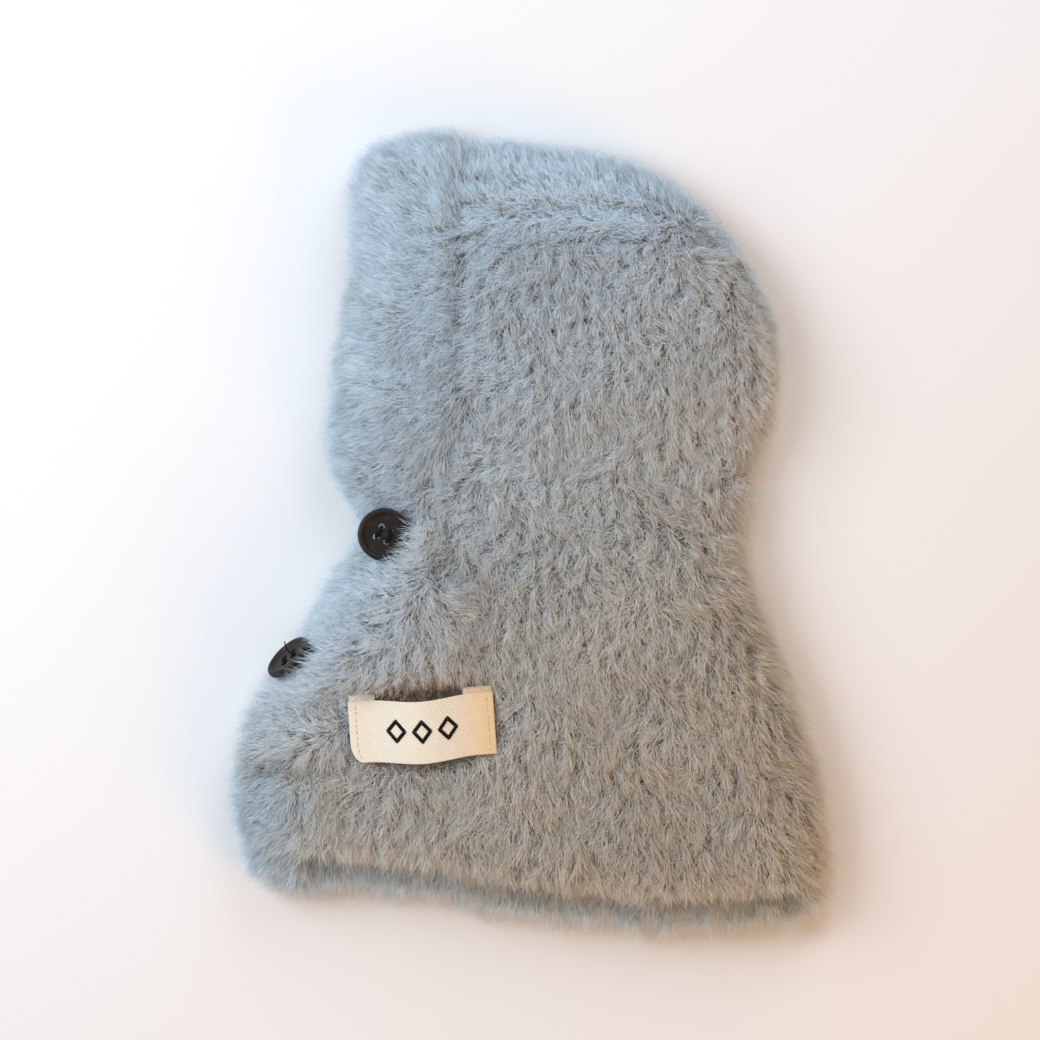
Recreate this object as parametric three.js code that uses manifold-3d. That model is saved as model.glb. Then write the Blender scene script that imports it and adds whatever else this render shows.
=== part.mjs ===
// A child's fluffy knitted balaclava hood, lying flat on its right side.
// Millimetres, +Z up from the surface it lies on. +X points to the back of the head and +Y to the crown.
// The origin is under the middle of the garment.

import * as THREE from 'three';
import { mergeVertices } from 'three/addons/utils/BufferGeometryUtils.js';
import Module from 'manifold-3d';

const wasm = await Module();
wasm.setup();

const DEGREE = Math.PI / 180;

// Driving dimensions.
const FIT_GAP = 0.3; // air between two touching pieces
const LAYER = 7.5; // one layer of knit with its pile pressed down
const WALL = 6; // thickness of the folded edge at the crown and the back
const PLACKET_WALL = 7; // the buttonhole placket's turn round the front edge
const EDGE_HEIGHT = 20; // height of the garment at its rim
const LOFT = 12; // how far the middle stands above the rim
const ROLL_WIDTH = 28; // width over which the rim rolls down
const NECK_SINK = 7; // loft lost where the neck is drawn in
const NECK_REACH = 26;
const NECK_MIDDLE = 14;
const HINGE_Y = 18; // the line on which the hood folds over the cape
const GRID = 12; // spacing of the points that carry the loft
const SEAM_WIDTH = 3;
const SEAM_HEIGHT = 1.2;
const BUTTON_RADIUS = 10;
const BUTTON_THICKNESS = 4.2;
const RIM_WIDTH = 2.4;
const RIM_DEPTH = 1.3;
const HOLE_RADIUS = 1.2;
const HOLE_SPACING = 4.3;
const THREAD_RADIUS = 0.45;
const SHANK_RADIUS = 1.3;
const BUTTON_LIFT = 3; // from the pressed pile to the underside of the button
const POCKET_MARGIN = 3.5; // pressed pile beyond the button's rim
const BUTTONHOLE_LENGTH = 18;
const BUTTONHOLE_WIDTH = 4;
const STITCH_THICKNESS = 0.6;
const TAIL_LENGTH = 7;
const LABEL_LENGTH = 54;
const LABEL_WIDTH = 23;
const LABEL_THICKNESS = 0.8;
const LABEL_BOW = 5; // how far the label's middle stands off the pile
const LABEL_TAB = 6; // flat end that is sewn down

// Outline of the whole garment, clockwise from the upper front corner of the brim.
const OUTLINE = closedCurve([
  [-66, 139], [-48, 148], [-8, 150], [40, 141], [75, 119], [95, 80], [95, 42], [80, 2],
  [84, -24], [99, -64], [111, -115], [107, -143], [60, -150.3], [0, -145], [-55, -135], [-100, -129],
  [-111.3, -100], [-105, -69], [-87, -44], [-77, -22], [-63, 2], [-77, 28], [-75, 60], [-69, 95],
], 110);

// Seam lines, each from its upper end to its lower end.
const BRIM_LINE = [[-25, 160], [-25, 106], [-25, 52], [-31, 34], [-42, HINGE_Y]];
const GUSSET_LINE = openCurve([[-25, 106], [20, 107], [56, 107], [78, 100], [89, 82], [91, 58], [87, 36],
  [79, HINGE_Y]], 24);
const PLACKET_LINE = openCurve([[-42, HINGE_Y], [-43, 0], [-57, -24], [-68, -46], [-84, -74], [-90, -102],
  [-84, -134], [-80, -160]], 20);
const HEM_LINE = openCurve([[-130, -121], [-72, -126], [-20, -132], [30, -140], [64, -141], [130, -133]], 16);

const COLOURS = {
  pile: { color: 0xa9b3b6, roughness: 0.95, metalness: 0 },
  resin: { color: 0x1f1a19, roughness: 0.38, metalness: 0 },
  thread: { color: 0x2a2626, roughness: 0.8, metalness: 0 },
  seam: { color: 0x8f9a9e, roughness: 0.9, metalness: 0 },
  cotton: { color: 0xece5d8, roughness: 0.85, metalness: 0 },
};

const group = new THREE.Group();

// Curves and outlines.

function vectors(points) {
  return points.map(([x, y]) => new THREE.Vector3(x, y, 0));
}

function closedCurve(points, count) {
  const curve = new THREE.CatmullRomCurve3(vectors(points), true, 'centripetal');
  return curve.getSpacedPoints(count).slice(0, count).map((p) => [p.x, p.y]);
}

function openCurve(points, count) {
  const curve = new THREE.CatmullRomCurve3(vectors(points), false, 'centripetal');
  return curve.getSpacedPoints(count).map((p) => [p.x, p.y]);
}

/** Moves each point of a line sideways, to the left of its direction of travel. */
function shifted(line, distance, closed = false) {
  return line.map(([x, y], i) => {
    const last = line.length - 1;
    const before = line[i > 0 ? i - 1 : closed ? last : 0];
    const after = line[i < last ? i + 1 : closed ? 0 : last];
    const run = Math.hypot(after[0] - before[0], after[1] - before[1]);
    return [x - ((after[1] - before[1]) / run) * distance, y + ((after[0] - before[0]) / run) * distance];
  });
}

/** The outline of a strip of one width that follows a line. */
function ribbon(line, width) {
  return [...shifted(line, width / 2), ...shifted(line, -width / 2).reverse()];
}

// Solids.

function solidOf(geometry) {
  const bare = geometry.clone();
  bare.deleteAttribute('normal');
  bare.deleteAttribute('uv');
  const merged = mergeVertices(bare, 1e-4);
  const mesh = new wasm.Mesh({
    numProp: 3,
    vertProperties: new Float32Array(merged.attributes.position.array),
    triVerts: new Uint32Array(merged.index.array),
  });
  return new wasm.Manifold(mesh);
}

function geometryOf(solid) {
  const mesh = solid.getMesh();
  const geometry = new THREE.BufferGeometry();
  geometry.setAttribute('position', new THREE.BufferAttribute(mesh.vertProperties, 3));
  geometry.setIndex(new THREE.BufferAttribute(mesh.triVerts, 1));
  return geometry;
}

/** A tall upright block with the given outline in plan. */
function block(outline, low = -60, high = 120) {
  const shape = new THREE.Shape(outline.map(([x, y]) => new THREE.Vector2(x, y)));
  const geometry = new THREE.ExtrudeGeometry(shape, { depth: high - low, bevelEnabled: false });
  return solidOf(geometry.translate(0, 0, low));
}

/** A sheet over the whole plan, between two surfaces z = low(x, y) and z = high(x, y). */
function sheet(low, high) {
  const width = 252;
  const length = 324;
  const geometry = new THREE.BoxGeometry(width, length, 1, Math.round(width / GRID), Math.round(length / GRID), 1);
  const points = geometry.attributes.position;
  for (let i = 0; i < points.count; i += 1) {
    const surface = points.getZ(i) > 0 ? high : low;
    points.setZ(i, surface(points.getX(i), points.getY(i)));
  }
  return solidOf(geometry);
}

/** How far a point lies inside the outline, or 0 outside it. */
function depthInside(x, y) {
  let nearest = Infinity;
  let inside = false;
  OUTLINE.forEach(([ax, ay], i) => {
    const [bx, by] = OUTLINE[(i + 1) % OUTLINE.length];
    const along = ((x - ax) * (bx - ax) + (y - ay) * (by - ay)) / ((bx - ax) ** 2 + (by - ay) ** 2);
    const share = Math.min(Math.max(along, 0), 1);
    nearest = Math.min(nearest, Math.hypot(x - ax - share * (bx - ax), y - ay - share * (by - ay)));
    if (ay > y !== by > y && x < ax + ((y - ay) / (by - ay)) * (bx - ax)) inside = !inside;
  });
  return inside ? nearest : 0;
}

/** Height of the near side's outer surface: a rolled rim, a flat middle and a drawn-in neck. */
function top(x, y) {
  const inward = Math.min(depthInside(x, y) / ROLL_WIDTH, 1);
  const roll = Math.sqrt(1 - (1 - inward) ** 2);
  const neck = NECK_SINK * Math.exp(-(((y - NECK_MIDDLE) / NECK_REACH) ** 2));
  return EDGE_HEIGHT + roll * (LOFT - neck);
}

const level = (z) => () => z;
const under = (depth) => (x, y) => top(x, y) - depth;

function addPiece(name, solid, look) {
  const mesh = new THREE.Mesh(geometryOf(solid), new THREE.MeshStandardMaterial(COLOURS[look]));
  mesh.name = name;
  group.add(mesh);
  return mesh;
}

// Regions of the plan.

const FAR = 150;
const brimRegion = block([...BRIM_LINE, [-FAR, HINGE_Y], [-FAR, 160]]);
const gussetRegion = block([...GUSSET_LINE, [FAR, HINGE_Y], [FAR, 165], [-25, 165]]);
const hoodRegion = block([...GUSSET_LINE, ...BRIM_LINE.slice(1).reverse().slice(0, -1)]);
const capeRegion = block([...PLACKET_LINE, [FAR, -160], [FAR, HINGE_Y]]);
const placketRegion = block([...PLACKET_LINE, [-FAR, -160], [-FAR, HINGE_Y]]);
const aboveHem = block([...HEM_LINE, [FAR, FAR], [-FAR, FAR]]);

// Thin cuts that keep neighbouring pieces apart.
const cuts = [BRIM_LINE, GUSSET_LINE, PLACKET_LINE, [[-FAR, HINGE_Y], [FAR, HINGE_Y]]]
  .map((line) => block(ribbon(line, FIT_GAP)));

function withoutCuts(solid) {
  return cuts.reduce((rest, cut) => rest.subtract(cut), solid);
}

// The garment as one hollow body: two layers, joined along the crown and the back.

const inside = block(shifted(OUTLINE, -WALL, true))
  .add(block([[-FAR, HINGE_Y + 3], [-40, HINGE_Y + 3], [-40, 131], [-FAR, 131]]))
  .add(block([[-FAR, -160], [-FAR, -110], [105, -110], [107, -160]]))
  .subtract(placketRegion);
const hollow = sheet(level(LAYER), under(LAYER)).intersect(inside);
const whole = sheet(level(0), top).intersect(block(OUTLINE));
const shell = whole.subtract(hollow);
const middle = (x, y) => top(x, y) / 2;
const aboveMiddle = sheet((x, y) => middle(x, y) + FIT_GAP / 2, level(90));
const aboveFarHalf = sheet((x, y) => middle(x, y) - FIT_GAP / 2, level(90));

// Buttons. Each frame stands at the middle of the button's underside, with z along the button's axis.

const BUTTONS = [
  { name: 'top', seat: [-54.7, -2, 27], lean: 6, toward: 0, slotAngle: 90, shank: 9.2, tail: false },
  { name: 'lower', seat: [-89.4, -50.3, 15.5], lean: 68, toward: 131.3, slotAngle: 41.3, shank: 5.4, tail: true },
];

function buttonFrame({ seat, lean, toward, slotAngle }) {
  const axis = new THREE.Vector3(0, 0, 1)
    .applyAxisAngle(new THREE.Vector3(0, 1, 0), lean * DEGREE)
    .applyAxisAngle(new THREE.Vector3(0, 0, 1), toward * DEGREE);
  const along = new THREE.Vector3(Math.cos(slotAngle * DEGREE), Math.sin(slotAngle * DEGREE), 0);
  along.addScaledVector(axis, -along.dot(axis)).normalize();
  const across = new THREE.Vector3().crossVectors(axis, along);
  return new THREE.Matrix4().makeBasis(along, across, axis).setPosition(...seat);
}

function cylinder(radius, low, high, x = 0, y = 0, sides = 24) {
  const geometry = new THREE.CylinderGeometry(radius, radius, high - low, sides);
  return geometry.rotateX(Math.PI / 2).translate(x, y, (low + high) / 2);
}

function holePlaces() {
  const half = HOLE_SPACING / 2;
  return [[half, half], [half, -half], [-half, -half], [-half, half]];
}

function buttonSolid() {
  const floor = BUTTON_THICKNESS - RIM_DEPTH;
  const profile = [
    [0, 0], [BUTTON_RADIUS - 2.2, 0], [BUTTON_RADIUS - 0.5, 1.2], [BUTTON_RADIUS, 2.4],
    [BUTTON_RADIUS - 0.4, BUTTON_THICKNESS - 0.4], [BUTTON_RADIUS - 1.1, BUTTON_THICKNESS],
    [BUTTON_RADIUS - RIM_WIDTH + 0.3, BUTTON_THICKNESS - 0.4], [BUTTON_RADIUS - RIM_WIDTH - 0.5, floor], [0, floor],
  ].map(([radius, height]) => new THREE.Vector2(radius, height));
  const disc = solidOf(new THREE.LatheGeometry(profile, 28).rotateX(Math.PI / 2));
  return holePlaces().reduce(
    (rest, [x, y]) => rest.subtract(solidOf(cylinder(HOLE_RADIUS, -1, BUTTON_THICKNESS + 1, x, y, 8))),
    disc,
  );
}

/** A shank behind the button, four strands through its holes and two bars across its face. */
function threadSolid({ shank, tail }) {
  const face = BUTTON_THICKNESS - RIM_DEPTH + FIT_GAP + THREAD_RADIUS;
  const parts = [
    cylinder(SHANK_RADIUS, -shank, -1.1, 0, 0, 8),
    cylinder(HOLE_SPACING * 0.75, -1.2, -FIT_GAP, 0, 0, 12),
    ...holePlaces().map(([x, y]) => cylinder(THREAD_RADIUS, -0.8, face, x, y, 6)),
    ...[-1, 1].map((side) => new THREE.CylinderGeometry(THREAD_RADIUS, THREAD_RADIUS, HOLE_SPACING + 0.4, 6)
      .translate((side * HOLE_SPACING) / 2, 0, face)),
  ];
  if (tail) {
    const end = new THREE.CylinderGeometry(THREAD_RADIUS * 0.7, THREAD_RADIUS * 0.9, TAIL_LENGTH, 6);
    parts.push(end.rotateX(70 * DEGREE).translate(HOLE_SPACING / 2, -0.6, face + TAIL_LENGTH / 2 - 0.4));
  }
  return parts.map(solidOf).reduce((sum, part) => sum.add(part));
}

/** A block with round ends round the buttonhole, wider than it by grow on every side. */
function slotBlock(grow, low, high) {
  const radius = BUTTONHOLE_WIDTH / 2 + grow;
  const reach = (BUTTONHOLE_LENGTH - BUTTONHOLE_WIDTH) / 2;
  const shape = new THREE.Shape();
  shape.absarc(reach, 0, radius, -Math.PI / 2, Math.PI / 2, false);
  shape.absarc(-reach, 0, radius, Math.PI / 2, (Math.PI * 3) / 2, false);
  const options = { depth: high - low, bevelEnabled: false, curveSegments: 4 };
  return solidOf(new THREE.ExtrudeGeometry(shape, options).translate(0, 0, low));
}

function placed(solid, frame) {
  return solid.transform(frame.toArray());
}

const pockets = BUTTONS.map((button) => placed(
  solidOf(cylinder(BUTTON_RADIUS + POCKET_MARGIN, -BUTTON_LIFT, 60, 0, 0, 24)),
  buttonFrame(button),
));
const slots = BUTTONS.map((button) => placed(slotBlock(0, -button.shank - 0.2, 1), buttonFrame(button)));

function withPockets(solid) {
  return pockets.reduce((rest, pocket) => rest.subtract(pocket), solid);
}

// Hood.

const hoodPanels = withoutCuts(shell.intersect(hoodRegion));
addPiece('brim_band', withoutCuts(shell.intersect(brimRegion)), 'pile');
addPiece('crown_gusset', withoutCuts(shell.intersect(gussetRegion)), 'pile');
addPiece('hood_left_panel', hoodPanels.intersect(aboveMiddle), 'pile');
addPiece('hood_right_panel', hoodPanels.subtract(aboveFarHalf), 'pile');

// Cape.

const capePanels = withPockets(withoutCuts(shell.intersect(capeRegion)));
addPiece('cape_left_panel', capePanels.intersect(aboveMiddle).intersect(aboveHem), 'pile');
addPiece('cape_right_panel', capePanels.subtract(aboveFarHalf), 'pile');

/** The space that the button placket fills, behind the turned front edge and under the buttonhole placket. */
function underlap(clearance) {
  const edge = PLACKET_WALL + clearance;
  const plan = block(shifted(OUTLINE, -edge, true))
    .add(block([[-113 + edge, -110], [-60, -110], [-60, -160], [-108 + edge, -160]]));
  return sheet(level(-5), under(LAYER + clearance)).intersect(plan);
}

const plackets = withPockets(withoutCuts(whole.intersect(placketRegion)));
const overlap = plackets.subtract(underlap(0)).intersect(aboveHem);
addPiece('buttonhole_placket', slots.reduce((rest, slot) => rest.subtract(slot), overlap), 'pile');
addPiece('button_placket', plackets.intersect(underlap(FIT_GAP)), 'pile');

// Seams: a ridge of overlock thread on the inner face of each side.

const seamRoom = block(shifted(OUTLINE, -(WALL + 1), true));

function addSeam(name, line, near) {
  const low = LAYER + FIT_GAP;
  const ridge = near ? sheet(under(low + SEAM_HEIGHT), under(low)) : sheet(level(low), level(low + SEAM_HEIGHT));
  addPiece(name, ridge.intersect(block(ribbon(line, SEAM_WIDTH))).intersect(seamRoom), 'seam');
}

const besidePlacket = shifted(PLACKET_LINE, SEAM_WIDTH / 2 + FIT_GAP).filter(([, y]) => y < 12 && y > -118);
const brimSeam = [[-25, 103], [-25, 52], [-31, 34], [-36, 25]];
const gussetSeam = GUSSET_LINE.filter(([x, y]) => x > -22 && y > 84);
const neckSeam = [[-36, HINGE_Y - 2.2], [66, HINGE_Y - 2.2]];
[['left', true], ['right', false]].forEach(([side, near]) => {
  addSeam(`brim_seam_${side}`, brimSeam, near);
  addSeam(`gusset_seam_${side}`, gussetSeam, near);
  addSeam(`neck_seam_${side}`, neckSeam, near);
  addSeam(`placket_seam_${side}`, besidePlacket, near);
});

const backLine = shifted(OUTLINE, -(WALL + FIT_GAP + SEAM_HEIGHT / 2), true)
  .filter(([x, y]) => x > 50 && y < 8 && y > -126);
const backRidge = sheet((x, y) => middle(x, y) - SEAM_WIDTH / 2, (x, y) => middle(x, y) + SEAM_WIDTH / 2);
addPiece('cape_back_seam', backRidge.intersect(block(ribbon(backLine, SEAM_HEIGHT))), 'seam');

// Buttons, their thread and the stitched edges of their buttonholes.

const button = buttonSolid();
BUTTONS.forEach((spec) => {
  const frame = buttonFrame(spec);
  const low = -BUTTON_LIFT + FIT_GAP;
  const ring = slotBlock(1.2, low, low + STITCH_THICKNESS).subtract(slotBlock(0, low - 1, low + 2));
  [[`${spec.name}_button`, button, 'resin'], [`${spec.name}_button_thread`, threadSolid(spec), 'thread'],
    [`${spec.name}_buttonhole_stitch`, ring, 'seam']].forEach(([name, solid, look]) => {
    addPiece(name, solid, look).applyMatrix4(frame);
  });
});

// Label: a strip sewn down at both ends that stands off the pile between them.

function archPoints(lift, count = 14) {
  const run = LABEL_LENGTH / 2 - LABEL_TAB;
  return Array.from({ length: count + 1 }, (_, i) => {
    const x = run * ((2 * i) / count - 1);
    return new THREE.Vector2(x, lift + (LABEL_BOW / 2) * (1 + Math.cos((Math.PI * x) / run)));
  });
}

const half = LABEL_LENGTH / 2;
const strip = new THREE.Shape([
  new THREE.Vector2(-half, 0), ...archPoints(0), new THREE.Vector2(half, 0),
  new THREE.Vector2(half, LABEL_THICKNESS), ...archPoints(LABEL_THICKNESS).reverse(),
  new THREE.Vector2(-half, LABEL_THICKNESS),
]);
const label = new THREE.Group();
label.position.set(-40, -74.5, EDGE_HEIGHT + LOFT + FIT_GAP);
label.rotation.z = 4 * DEGREE;
const stripGeometry = new THREE.ExtrudeGeometry(strip, { depth: LABEL_WIDTH, bevelEnabled: false });
stripGeometry.rotateX(Math.PI / 2).translate(0, LABEL_WIDTH / 2, 0);
label.add(addPiece('woven_label', solidOf(stripGeometry), 'cotton'));
[['front', -1], ['back', 1]].forEach(([end, side]) => {
  const row = new THREE.BoxGeometry(0.7, LABEL_WIDTH - 2, 0.5);
  const stitch = addPiece(`label_stitch_${end}`, solidOf(row), 'cotton');
  stitch.position.set(side * (half - 2.6), 0, LABEL_THICKNESS + FIT_GAP + 0.25);
  label.add(stitch);
});
group.add(label);

export default group;
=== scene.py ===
"""A child's fluffy knitted balaclava hood, lying flat on its right side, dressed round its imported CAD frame.

Metres, +Z up from the surface it lies on, +X to the back of the head, +Y to the crown.
"""

import logging
import math
from dataclasses import dataclass, field
from enum import Enum

import bpy
import numpy as np
from mathutils import Matrix, Vector
from mathutils.bvhtree import BVHTree


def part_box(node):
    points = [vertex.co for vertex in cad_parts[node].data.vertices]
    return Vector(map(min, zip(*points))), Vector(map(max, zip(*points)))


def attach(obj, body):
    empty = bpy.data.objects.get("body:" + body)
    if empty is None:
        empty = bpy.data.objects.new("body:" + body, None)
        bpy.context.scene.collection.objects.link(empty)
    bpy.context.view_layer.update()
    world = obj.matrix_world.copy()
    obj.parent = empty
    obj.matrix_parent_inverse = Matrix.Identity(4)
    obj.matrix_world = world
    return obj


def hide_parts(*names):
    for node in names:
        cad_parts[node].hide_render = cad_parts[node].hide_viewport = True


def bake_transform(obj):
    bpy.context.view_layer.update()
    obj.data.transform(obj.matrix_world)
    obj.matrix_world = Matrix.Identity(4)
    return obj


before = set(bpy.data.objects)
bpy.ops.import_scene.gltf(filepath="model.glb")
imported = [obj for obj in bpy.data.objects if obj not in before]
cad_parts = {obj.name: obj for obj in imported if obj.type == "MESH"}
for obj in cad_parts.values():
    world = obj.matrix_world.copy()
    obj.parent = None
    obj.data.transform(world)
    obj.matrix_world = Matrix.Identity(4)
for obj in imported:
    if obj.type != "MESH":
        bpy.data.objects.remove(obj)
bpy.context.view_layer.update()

log = logging.getLogger("hood")
MM = 0.001
UV_NAME = "OFBake"
HUES = 7  # rows of the colour card: the yarn's own hues, painted cool and warm light, and a brown row of painted shade
WALE = 6.5 * MM  # spacing of the side panels' knit columns
ROW_PITCH = 9.9 * MM  # spacing of the gusset's knit rows
FIRST_ROW = 114.0 * MM


def linear(hex_colour: str) -> tuple[float, float, float, float]:
    """The linear colour of an sRGB hex value such as "#a9b8c3"."""
    levels = [int(hex_colour[i : i + 2], 16) / 255 for i in (1, 3, 5)]
    return (*[v / 12.92 if v <= 0.04045 else ((v + 0.055) / 1.055) ** 2.4 for v in levels], 1.0)


def smoothstep(low: float, high: float, value: np.ndarray) -> np.ndarray:
    """0 below low, 1 above high and a smooth rise between them."""
    share = np.clip((value - low) / (high - low), 0, 1)
    return share * share * (3 - 2 * share)


def unit(vectors: np.ndarray) -> np.ndarray:
    """The vectors at length one."""
    return vectors / np.maximum(np.linalg.norm(vectors, axis=-1, keepdims=True), 1e-12)


def set_inputs(tree: bpy.types.NodeTree, node: bpy.types.Node, inputs: dict) -> None:
    """Sets or links a node's inputs.

    Args:
        tree: the node tree that it stands in.
        node: the node.
        inputs: a value, or a socket to link, for each input's name or index.
    """
    for name, value in inputs.items():
        if isinstance(value, bpy.types.NodeSocket):
            tree.links.new(value, node.inputs[name])
        else:
            node.inputs[name].default_value = value


def add_node(tree: bpy.types.NodeTree, kind: str, inputs: dict | None = None, ramp: list | None = None,
             **settings) -> bpy.types.Node:
    """Adds one shader node.

    Args:
        tree: the material's node tree.
        kind: the node's type, without "ShaderNode".
        inputs: a value, or a socket to link, for each input's name or index.
        ramp: (position, colour) stops of a colour ramp.
        **settings: the node's own settings.

    Returns:
        The new node.
    """
    made = tree.nodes.new("ShaderNode" + kind)
    for name, value in settings.items():
        setattr(made, name, value)
    set_inputs(tree, made, inputs or {})
    for i, (position, colour) in enumerate(ramp or []):
        stops = made.color_ramp.elements
        stop = stops[i] if i < 2 else stops.new(position)
        stop.position, stop.color = position, colour
    return made


def new_material(name: str) -> tuple[bpy.types.Material, bpy.types.NodeTree, bpy.types.Node]:
    """A material with a bare Principled shader: the material, its tree and the shader."""
    material = bpy.data.materials.new(name)
    material.use_nodes = True
    tree = material.node_tree
    return material, tree, tree.nodes["Principled BSDF"]


def read(items: bpy.types.bpy_prop_collection, name: str, width: int, kind: type = np.float32) -> np.ndarray:
    """One property of all the items of a mesh.

    Args:
        items: the mesh's vertices, edges, loops or triangles.
        name: the property.
        width: how many numbers each item has.
        kind: the numbers' type.

    Returns:
        One row for each item, or one number where the width is 1.
    """
    values = np.zeros(len(items) * width, kind)
    items.foreach_get(name, values)
    return values.reshape(-1, width) if width > 1 else values


def placed(name: str, data: bpy.types.ID) -> bpy.types.Object:
    """An object with these data, linked to the scene."""
    made = bpy.data.objects.new(name, data)
    bpy.context.scene.collection.objects.link(made)
    return made


def shade_smooth(mesh: bpy.types.Mesh) -> None:
    """Shades all of a mesh's faces smooth."""
    mesh.polygons.foreach_set("use_smooth", np.ones(len(mesh.polygons), bool))


def fitted(piece: bpy.types.Object, rides: str, node: str = "") -> None:
    """Gives a piece its place in the frame.

    Args:
        piece: the piece.
        rides: the node or body that it moves with.
        node: the CAD node that it stands for, if any.
    """
    if node:
        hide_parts(node)
    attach(piece, rides)


# Finishes.


@dataclass(frozen=True)
class BrushedPileYarn:
    """Brushed polyamide pile: fine fibres, pale at the tip, and warm and dull at the root, which paints the
    warm shade deep in the pile.
    """

    # To the eye: soft depth between the locks, tips that glow a little, and a painted drift from cool window
    # light to warm lamp light.

    # roots: painted warm shade deep in the pile
    roots: str = "#cdc9c0"
    # tips: rows from cool to warm, which paint the cool window light and the warm lamp light where each falls,
    # besides the yarn's own scatter; the last, brown row is painted shade behind the label and in the crease
    tips: tuple[str, ...] = ("#cfe8f8", "#d6e8f2", "#dce7ea", "#dfe4e1", "#dfdfd6", "#dad4c4", "#d9ab6c")
    roughness: float = 0.62

    def make(self) -> bpy.types.Material:
        """The material, which reads its hue, depth and tone from the strand's own UV place."""
        material, tree, shader = new_material("brushed_pile_yarn")
        uv = add_node(tree, "UVMap", uv_map=UV_NAME)
        place = add_node(tree, "SeparateXYZ", {0: uv.outputs[0]})
        rows = add_node(tree, "Math", {0: place.outputs["Y"], 1: HUES}, operation="MULTIPLY")
        row = add_node(tree, "Math", {0: rows.outputs[0]}, operation="FLOOR")
        depth = add_node(tree, "Math", {0: rows.outputs[0]}, operation="FRACT")
        hue = add_node(tree, "Math", {0: row.outputs[0], 1: HUES - 1}, operation="DIVIDE")
        stops = [(i / (HUES - 1), linear(tip)) for i, tip in enumerate(self.tips)]
        tint = add_node(tree, "ValToRGB", {0: hue.outputs[0]}, ramp=stops)
        # Painted shade: strands darken and warm from tip to root.
        shade = add_node(tree, "MapRange", {0: depth.outputs[0], 1: 0.05, 2: 0.8},
                         interpolation_type="SMOOTHSTEP")
        along = add_node(tree, "Mix", {0: shade.outputs[0], 6: linear(self.roots), 7: tint.outputs[0]},
                         data_type="RGBA")
        tone = add_node(tree, "MapRange", {0: place.outputs["X"], 3: 0.84, 4: 1.14})
        toned = add_node(tree, "VectorMath", {0: along.outputs[2], "Scale": tone.outputs[0]},
                         operation="SCALE")
        set_inputs(tree, shader, {
            "Base Color": toned.outputs[0], "Roughness": self.roughness, "Subsurface Weight": 0.5,
            "Subsurface Radius": (1.0, 0.95, 0.9), "Subsurface Scale": 0.6 * MM, "Sheen Weight": 0.3,
            "Sheen Roughness": 0.45,
        })
        return material


@dataclass(frozen=True)
class KnittedGround:
    """Plain jersey knit under the pile: columns of V-shaped loops, with painted shade between the legs of each
    loop.
    """

    # To the eye: a matt, dim weave wherever the pile parts or is trimmed. The loops are drawn near full size.

    crest: str = "#b2aeaa"
    # valley: painted shade in the hollows between the loops' legs
    valley: str = "#7f7974"
    loop_width: float = 3.2 * MM
    loop_height: float = 2.4 * MM
    slant: float = 1.1  # how steep the legs of a loop are
    relief: float = 0.5 * MM

    def make(self) -> bpy.types.Material:
        """The material."""
        material, tree, shader = new_material("jersey_knit_ground")
        where = add_node(tree, "TexCoord")
        place = add_node(tree, "SeparateXYZ", {0: where.outputs["Object"]})
        column = add_node(tree, "Math", {0: place.outputs["X"], 1: 1 / self.loop_width}, operation="MULTIPLY")
        across = add_node(tree, "Math", {0: column.outputs[0], 1: 1.0}, operation="PINGPONG")
        course = add_node(tree, "Math", {0: place.outputs["Y"], 1: 1 / self.loop_height},
                          operation="MULTIPLY")
        leaning = add_node(tree, "Math", {0: across.outputs[0], 1: self.slant, 2: course.outputs[0]},
                           operation="MULTIPLY_ADD")
        turned = add_node(tree, "Math", {0: leaning.outputs[0], 1: 2 * math.pi}, operation="MULTIPLY")
        wave = add_node(tree, "Math", {0: turned.outputs[0]}, operation="SINE")
        height = add_node(tree, "MapRange", {0: wave.outputs[0], 1: -1.0, 2: 1.0})
        # Painted shade: the colour darkens with the loops' height, towards the valley between their legs.
        tint = add_node(tree, "ValToRGB", {0: height.outputs[0]},
                        ramp=[(0.0, linear(self.valley)), (0.8, linear(self.crest))])
        bump = add_node(tree, "Bump", {"Height": height.outputs[0], "Distance": self.relief, "Strength": 0.9})
        set_inputs(tree, shader, {"Base Color": tint.outputs[0], "Normal": bump.outputs[0],
                                  "Roughness": 0.85})
        return material


@dataclass(frozen=True)
class CastResin:
    """Cast polyester resin, tumble polished: near black with a brown cast and faint clouds."""

    # To the eye: a soft gloss that is dulled by fine scratches.

    dark: str = "#15110f"
    light: str = "#2b2320"
    cloud: float = 3.0 * MM
    scratch: float = 0.25 * MM

    def make(self) -> bpy.types.Material:
        """The material."""
        material, tree, shader = new_material("cast_polyester_resin")
        where = add_node(tree, "TexCoord")
        place = where.outputs["Object"]
        clouds = add_node(tree, "TexNoise", {"Vector": place, "Scale": 1 / self.cloud, "Detail": 3.0})
        tint = add_node(tree, "ValToRGB", {0: clouds.outputs["Fac"]},
                        ramp=[(0.35, linear(self.dark)), (0.75, linear(self.light))])
        wear = add_node(tree, "TexNoise", {"Vector": place, "Scale": 1 / self.scratch, "Detail": 4.0})
        rough = add_node(tree, "MapRange", {0: wear.outputs["Fac"], 3: 0.42, 4: 0.62})
        bump = add_node(tree, "Bump", {"Height": wear.outputs["Fac"], "Distance": 0.02 * MM, "Strength": 0.4})
        set_inputs(tree, shader, {"Base Color": tint.outputs[0], "Roughness": rough.outputs[0],
                                  "Normal": bump.outputs[0], "IOR": 1.54, "Specular IOR Level": 0.28})
        return material


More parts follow.
